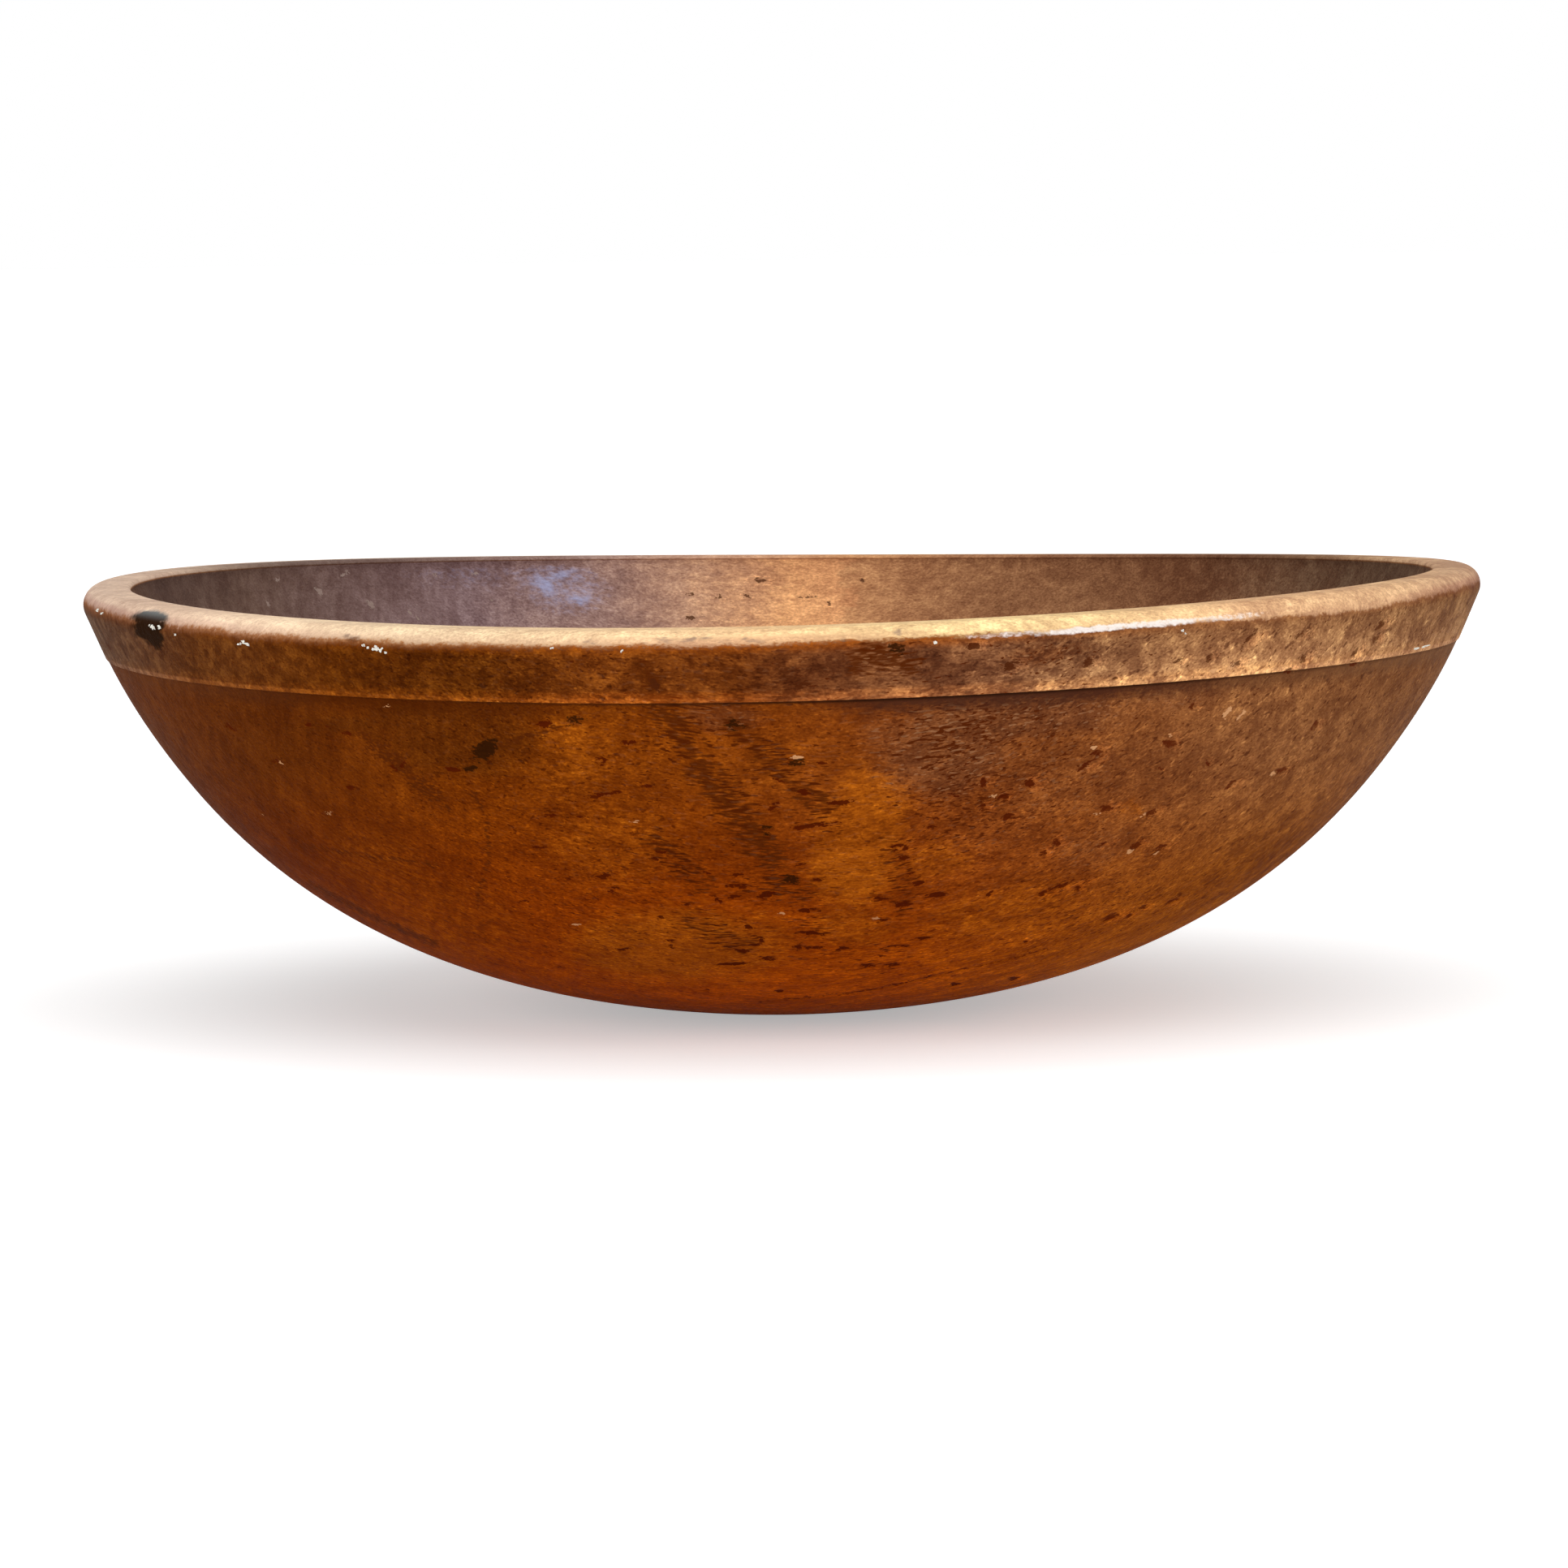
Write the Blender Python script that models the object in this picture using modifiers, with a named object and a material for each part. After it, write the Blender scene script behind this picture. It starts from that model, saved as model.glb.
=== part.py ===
"""Turned wooden salad bowl, made from one piece of wood.

The bowl is a single turning: a round belly on a small flat foot, a thick rim
with a rounded outer corner, and a raised band round the top of the wall.
It was turned true and then moved as the wood dried, so it is a little narrower
across the grain than along it and its rim rises at the two ends of the grain.

Units are metres. The origin is the middle of the foot, +Z is up and +X runs
along the grain.
"""

from math import atan2, cos, pi, radians, sin, tan

import bpy

# Sizes as turned
RIM_DIAMETER = 0.432        # widest, across the rounded edge of the rim
HEIGHT = 0.1325             # foot to rim top
FOOT_DIAMETER = 0.056       # flat that the bowl stands on
RIM_WIDTH = 0.0147          # rim top, from its inner edge to the widest point
RIM_ROUND = 0.0055          # radius of the rim's outer corner
RIM_EASE = 0.0015           # radius of the rim's inner edge
BASE_THICKNESS = 0.0150     # wood under the middle of the bowl

# Raised band round the top of the wall
BAND_HEIGHT = 0.0214        # rim top to the band's lower edge
BAND_LEAN = radians(24.0)   # the band's face from upright
BAND_STEP = 0.0010          # how far the band stands proud of the wall

# Curves of the wall: a lean at the top, a slope at the bottom, and how far each
# holds its direction, as a share of the wall's height or breadth
WALL_LEAN = radians(25.8)
WALL_FULLNESS = 0.90
FOOT_SLOPE = radians(6.5)
FOOT_FULLNESS = 0.18
INNER_LEAN = radians(21.5)
INNER_FULLNESS = 0.87
FLOOR_FULLNESS = 0.40

# Movement of the wood since it was turned
CROSS_GRAIN_LOSS = 0.006    # the rim is this much narrower across the grain
RIM_RISE = 0.0028           # rim lifts this far at the grain's ends and sinks as far between
RISE_POWER = 1.5            # how fast that movement grows from the foot to the rim

# Facets
TURNS = 96                  # round the bowl
WALL_POINTS = 16            # along each side of the wall
CORNER_POINTS = 6           # round the rim's outer corner
EASE_POINTS = 3             # round the rim's inner edge

COLLECTION = "wooden_salad_bowl"
WOOD_COLOUR = (0.26, 0.115, 0.038, 1.0)


def bezier(start, pull_start, pull_end, end, count):
    """Points along a cubic curve, both ends included."""
    points = []
    for step in range(count + 1):
        t = step / count
        weights = ((1 - t) ** 3, 3 * t * (1 - t) ** 2, 3 * t * t * (1 - t), t ** 3)
        corners = (start, pull_start, pull_end, end)
        points.append(tuple(sum(w * c[i] for w, c in zip(weights, corners)) for i in (0, 1)))
    return points


def arc(centre, radius, first, last, count):
    """Points along a circular arc, both ends included."""
    points = []
    for step in range(count + 1):
        angle = first + (last - first) * step / count
        points.append((centre[0] + radius * cos(angle), centre[1] + radius * sin(angle)))
    return points


def inner_wall(edge_radius, edge_height):
    """The hollow, from the middle of its floor up to the rim's inner edge."""
    depth = edge_height - BASE_THICKNESS
    reach = INNER_FULLNESS * depth
    return bezier(
        (0.0, BASE_THICKNESS),
        (FLOOR_FULLNESS * edge_radius, BASE_THICKNESS),
        (edge_radius - reach * tan(INNER_LEAN), edge_height - reach),
        (edge_radius, edge_height),
        WALL_POINTS,
    )


def outer_wall(top_radius, top_height):
    """The belly, from under the band down to the edge of the foot."""
    foot_radius = FOOT_DIAMETER / 2
    drop = WALL_FULLNESS * top_height
    run = FOOT_FULLNESS * (top_radius - foot_radius)
    return bezier(
        (top_radius, top_height),
        (top_radius - drop * tan(WALL_LEAN), top_height - drop),
        (foot_radius + run, run * tan(FOOT_SLOPE)),
        (foot_radius, 0.0),
        WALL_POINTS,
    )


def bowl_profile():
    """Half section as (radius, height): up the hollow, over the rim, down the outside."""
    rim_radius = RIM_DIAMETER / 2

    # The inner edge is rounded from the hollow's own lean to the flat rim top
    ease_centre = (rim_radius - RIM_WIDTH + RIM_EASE, HEIGHT - RIM_EASE)
    ease = arc(ease_centre, RIM_EASE, pi + INNER_LEAN, pi / 2, EASE_POINTS)
    hollow = inner_wall(*ease[0])

    # The outer corner turns from the rim top to the leaning face of the band
    corner_centre = (rim_radius - RIM_ROUND, HEIGHT - RIM_ROUND)
    corner = arc(corner_centre, RIM_ROUND, pi / 2, -BAND_LEAN, CORNER_POINTS)
    face_radius, face_height = corner[-1]
    band_foot = HEIGHT - BAND_HEIGHT
    band_radius = face_radius - (face_height - band_foot) * tan(BAND_LEAN)

    belly = outer_wall(band_radius - BAND_STEP, band_foot)
    return hollow[:-1] + ease + corner + [(band_radius, band_foot)] + belly + [(0.0, 0.0)]


def turn(name, profile):
    """Spin a half section round Z and return the closed solid as a new mesh."""
    section = bpy.data.meshes.new(name + "_section")
    corners = [(radius, 0.0, height) for radius, height in profile]
    section.from_pydata(corners, [(i, i + 1) for i in range(len(corners) - 1)], [])
    blank = bpy.data.objects.new(name + "_section", section)
    bpy.context.scene.collection.objects.link(blank)

    screw = blank.modifiers.new("turning", "SCREW")
    screw.axis = "Z"
    screw.angle = 2 * pi
    screw.steps = TURNS
    screw.render_steps = TURNS
    screw.use_merge_vertices = True
    screw.merge_threshold = 0.00001

    depsgraph = bpy.context.evaluated_depsgraph_get()
    mesh = bpy.data.meshes.new_from_object(blank.evaluated_get(depsgraph))
    mesh.name = name
    bpy.data.objects.remove(blank)
    bpy.data.meshes.remove(section)
    return mesh


def season(mesh):
    """Move a true turning the way drying wood does; the flat foot stays flat."""
    rim_radius = RIM_DIAMETER / 2
    shrink = 1 - CROSS_GRAIN_LOSS / RIM_DIAMETER
    for vertex in mesh.vertices:
        x, y, z = vertex.co
        grown = (max(z, 0.0) / HEIGHT) ** RISE_POWER
        away = (x * x + y * y) / rim_radius ** 2
        vertex.co = (x, y * shrink, z + RIM_RISE * grown * away * cos(2 * atan2(y, x)))
    mesh.update()


def waxed_wood():
    """Old waxed hardwood, brown with a soft shine."""
    material = bpy.data.materials.new("waxed_wood")
    material.use_nodes = True
    shader = material.node_tree.nodes["Principled BSDF"]
    shader.inputs["Base Color"].default_value = WOOD_COLOUR
    shader.inputs["Roughness"].default_value = 0.42
    shader.inputs["Metallic"].default_value = 0.0
    material.diffuse_color = WOOD_COLOUR
    return material


def main():
    for old in list(bpy.data.objects):
        bpy.data.objects.remove(old)

    collection = bpy.data.collections.new(COLLECTION)
    bpy.context.scene.collection.children.link(collection)

    mesh = turn("bowl", bowl_profile())
    season(mesh)
    mesh.shade_smooth()
    mesh.set_sharp_from_angle(angle=radians(35.0))
    mesh.materials.append(waxed_wood())

    bowl = bpy.data.objects.new("bowl", mesh)
    collection.objects.link(bowl)


main()
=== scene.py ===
import random
from math import atan, atan2, cos, hypot, pi, radians, sin, tan

import bmesh
import bpy
import numpy as np
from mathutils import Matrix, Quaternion, Vector, noise


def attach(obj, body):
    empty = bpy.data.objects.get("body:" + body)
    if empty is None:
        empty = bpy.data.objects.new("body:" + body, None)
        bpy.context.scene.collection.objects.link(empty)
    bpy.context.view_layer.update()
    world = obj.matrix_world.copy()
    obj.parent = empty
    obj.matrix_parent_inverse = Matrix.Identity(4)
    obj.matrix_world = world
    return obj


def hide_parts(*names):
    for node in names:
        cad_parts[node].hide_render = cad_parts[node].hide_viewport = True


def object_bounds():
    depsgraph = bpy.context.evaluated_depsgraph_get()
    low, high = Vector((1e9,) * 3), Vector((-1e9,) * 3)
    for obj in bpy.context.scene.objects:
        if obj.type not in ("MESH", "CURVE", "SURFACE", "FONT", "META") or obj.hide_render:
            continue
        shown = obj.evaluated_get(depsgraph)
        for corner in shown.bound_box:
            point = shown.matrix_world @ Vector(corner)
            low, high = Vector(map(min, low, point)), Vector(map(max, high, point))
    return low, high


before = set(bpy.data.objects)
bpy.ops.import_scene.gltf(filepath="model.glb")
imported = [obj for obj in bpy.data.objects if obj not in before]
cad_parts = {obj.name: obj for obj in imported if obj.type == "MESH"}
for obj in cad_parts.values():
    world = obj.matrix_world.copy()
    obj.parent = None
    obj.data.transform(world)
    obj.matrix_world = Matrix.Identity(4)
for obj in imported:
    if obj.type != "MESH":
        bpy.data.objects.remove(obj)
cadLow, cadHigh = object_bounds()
print("frame loaded")


# the photograph's camera, in pixels of its 1932 square frame
photoView = {
    "side": 1932,
    "rimSpot": (962.5, 714.8),  # where the middle of the rim falls
    "pixelsPerMetre": 3968.5,  # at the middle of the rim
    "distance": 2.16,
    "around": radians(13.87),  # bearing, from -Y towards +X
    "above": radians(3.054),
    "roll": radians(0.842),  # right side up
    "sensor": 36.0,
    "farthest": 100.0,
}


def cameraPlace(view, rimMiddle):
    back = Vector((
        sin(view["around"]) * cos(view["above"]),
        -cos(view["around"]) * cos(view["above"]),
        sin(view["above"]),
    ))
    focal = view["pixelsPerMetre"] * view["distance"]
    middle = view["side"] / 2
    right = atan((view["rimSpot"][0] - middle) / focal)
    over = atan((middle - view["rimSpot"][1]) / focal)
    turn = (-back).to_track_quat("-Z", "Y")
    turn = turn @ Quaternion((0, 0, 1), -view["roll"])
    turn = turn @ Quaternion((1, 0, 0), -over) @ Quaternion((0, 1, 0), right)
    return rimMiddle + back * view["distance"], turn, focal


def photoPixels(points, view, place):
    # where points of the bowl fall in the photograph
    spot, turn, focal = place
    local = (points - np.array(spot)) @ np.array(turn.to_matrix())
    across = view["side"] / 2 + focal * local[:, 0] / -local[:, 2]
    down = view["side"] / 2 - focal * local[:, 1] / -local[:, 2]
    return across, down


# the turned shape, the same sizes as the solid
bowlShape = {
    "height": 0.1325,
    "footDiameter": 0.056,
    "rimWidth": 0.0147,
    "rimRound": 0.0055,
    "rimEase": 0.0015,
    "baseThickness": 0.0150,
    "bandHeight": 0.0214,
    "bandLean": radians(24.0),
    "bandStep": 0.0010,
    "bandEdge": 0.0005,  # worn round of the band's lower edge
    "wallLean": radians(25.8),
    "wallFullness": 0.90,
    "footSlope": radians(6.5),
    "footFullness": 0.18,
    "innerLean": radians(21.5),
    "innerFullness": 0.87,
    "floorFullness": 0.40,
    "rimRise": 0.0028,
    "risePower": 1.5,
    "stepFill": 0.0006,  # how far the step is worn away at the sides
    "stepWorn": (0.25, 0.75),  # radians from a side where that is whole, and where it ends
    "stepFade": (0.004, 0.045),  # metres under the step where it is whole, and where it ends
    "scribe": 0.0072,  # turned line this far below the rim, inside
    "scribeDepth": 0.00010,
    "scribeClear": 0.003,  # the hollow's plain rings end this far under the line
    # rings near the line: metres under it, share of its depth
    "scribeRings": [
        (0.002, 0), (0.001, 0), (0.0005, 0.7), (0, 1), (-0.0005, 0.7), (-0.001, 0), (-0.003, 0), (-0.005, 0),
    ],
    "around": 280,  # facets round the bowl, then rings along its section
    "rings": {"hollow": 46, "ease": 5, "rimTop": 4, "corner": 14, "face": 9, "lip": 4, "wall": 52, "foot": 3},
    "stepRings": (0.12, 0.25, 0.45, 0.7),  # more rings under the step, as shares of the wall's first one
    "weld": 0.000001,
}


def distances(points):
    # length of a line up to each of its points
    return np.concatenate([[0.0], np.cumsum(np.hypot(*np.diff(np.array(points), axis=0).T))])


def evenly(points, count):
    # the same line cut into equal lengths
    lengths = distances(points)
    steps = np.linspace(0.0, lengths[-1], count + 1)
    out, up = np.array(points).T
    return list(zip(np.interp(steps, lengths, out), np.interp(steps, lengths, up)))


def curvePoints(start, pullStart, pullEnd, end, count, samples=400):
    t = np.linspace(0.0, 1.0, samples)[:, None]
    corners = [np.array(c) for c in (start, pullStart, pullEnd, end)]
    weights = ((1 - t) ** 3, 3 * t * (1 - t) ** 2, 3 * t * t * (1 - t), t ** 3)
    return evenly(sum(w * c for w, c in zip(weights, corners)), count)


def arcPoints(centre, radius, first, last, count):
    angles = np.linspace(first, last, count + 1)
    return [(centre[0] + radius * cos(a), centre[1] + radius * sin(a)) for a in angles]


def bowlProfile(shape, rimRadius):
    # half section from the floor's middle, over the rim and down the outside, with marks along it
    height = shape["height"]
    rings = shape["rings"]
    easeMiddle = (rimRadius - shape["rimWidth"] + shape["rimEase"], height - shape["rimEase"])
    ease = arcPoints(easeMiddle, shape["rimEase"], pi + shape["innerLean"], pi / 2, rings["ease"])
    edgeRadius, edgeHeight = ease[0]
    reach = shape["innerFullness"] * (edgeHeight - shape["baseThickness"])
    hollow = curvePoints(
        (0.0, shape["baseThickness"]),
        (shape["floorFullness"] * edgeRadius, shape["baseThickness"]),
        (edgeRadius - reach * tan(shape["innerLean"]), edgeHeight - reach),
        (edgeRadius, edgeHeight),
        rings["hollow"],
    )
    # a shallow scribed line under the rim, on the hollow's own curve
    scribed = [p for p in hollow if edgeHeight - p[1] > shape["scribe"] + shape["scribeClear"]]
    out, up = np.array(hollow).T
    for below, share in shape["scribeRings"]:
        level = edgeHeight - shape["scribe"] - below
        scribed.append((np.interp(level, up, out) + share * shape["scribeDepth"], level))

    cornerMiddle = (rimRadius - shape["rimRound"], height - shape["rimRound"])
    corner = arcPoints(cornerMiddle, shape["rimRound"], pi / 2, -shape["bandLean"], rings["corner"])
    rimTop = evenly([ease[-1], corner[0]], rings["rimTop"])
    bandFoot = height - shape["bandHeight"]
    bandRadius = corner[-1][0] - (corner[-1][1] - bandFoot) * tan(shape["bandLean"])
    bandCorner = (bandRadius, bandFoot)
    edge = shape["bandEdge"]
    faceEnd = (bandRadius + edge * sin(shape["bandLean"]), bandFoot + edge * cos(shape["bandLean"]))
    face = evenly([corner[-1], faceEnd], rings["face"])
    lip = curvePoints(faceEnd, bandCorner, bandCorner, (bandRadius - edge, bandFoot), rings["lip"])
    wallRadius = bandRadius - shape["bandStep"]
    drop = shape["wallFullness"] * bandFoot
    footRadius = shape["footDiameter"] / 2
    run = shape["footFullness"] * (wallRadius - footRadius)
    wall = curvePoints(
        (wallRadius, bandFoot),
        (wallRadius - drop * tan(shape["wallLean"]), bandFoot - drop),
        (footRadius + run, run * tan(shape["footSlope"])),
        (footRadius, 0.0),
        rings["wall"],
    )
    near = Vector(wall[1]) - Vector(wall[0])
    below = [tuple(Vector(wall[0]) + near * share) for share in shape["stepRings"]]
    foot = evenly([(footRadius, 0.0), (0.0, 0.0)], rings["foot"])

    parts = {
        "hollow": scribed, "ease": ease, "rimTop": rimTop[1:], "corner": corner[1:], "face": face[1:],
        "lip": lip[1:], "step": [wall[0]], "wall": below + wall[1:], "foot": foot[1:],
    }
    points = [p for part in parts.values() for p in part]
    lengths = distances(points)
    marks, last = {}, -1
    for name, part in parts.items():
        last += len(part)
        marks[name] = float(lengths[last])
    return points, lengths, marks


def spinBowl(points, lengths, shape):
    shell = bmesh.new()
    runLayer = shell.verts.layers.float.new("run")
    line = []
    for (radius, height), length in zip(points, lengths):
        vert = shell.verts.new((radius, 0.0, height))
        vert[runLayer] = length
        line.append(vert)
    for a, b in zip(line[:-1], line[1:]):
        shell.edges.new((a, b))
    bmesh.ops.spin(
        shell, geom=shell.verts[:] + shell.edges[:], cent=(0, 0, 0), axis=(0, 0, 1), dvec=(0, 0, 0),
        angle=2 * pi, steps=shape["around"], use_merge=True, use_normal_flip=False, use_duplicate=False,
    )
    bmesh.ops.remove_doubles(shell, verts=shell.verts, dist=shape["weld"])
    bmesh.ops.recalc_face_normals(shell, faces=shell.faces)
    return shell


def season(shell, shape, rimRadius, crossLoss):
    # drying drew the bowl in across the grain and lifted the rim at the grain's ends
    for vert in shell.verts:
        x, y, z = vert.co
        grown = (max(z, 0.0) / shape["height"]) ** shape["risePower"]
        away = (x * x + y * y) / rimRadius ** 2
        lift = shape["rimRise"] * grown * away * cos(2 * atan2(y, x))
        vert.co = (x, y * (1 - crossLoss / (2 * rimRadius)), z + lift)
    shell.normal_update()


rimRadius = (cadHigh.x - cadLow.x) / 2
crossLoss = (cadHigh.x - cadLow.x) - (cadHigh.y - cadLow.y)
profile, runLengths, runMarks = bowlProfile(bowlShape, rimRadius)
shell = spinBowl(profile, runLengths, bowlShape)
season(shell, bowlShape, rimRadius, crossLoss)
place = cameraPlace(photoView, Vector((0, 0, bowlShape["height"])))
print("bowl spun:", len(shell.verts), "points,", len(shell.faces), "faces", runMarks)


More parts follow.
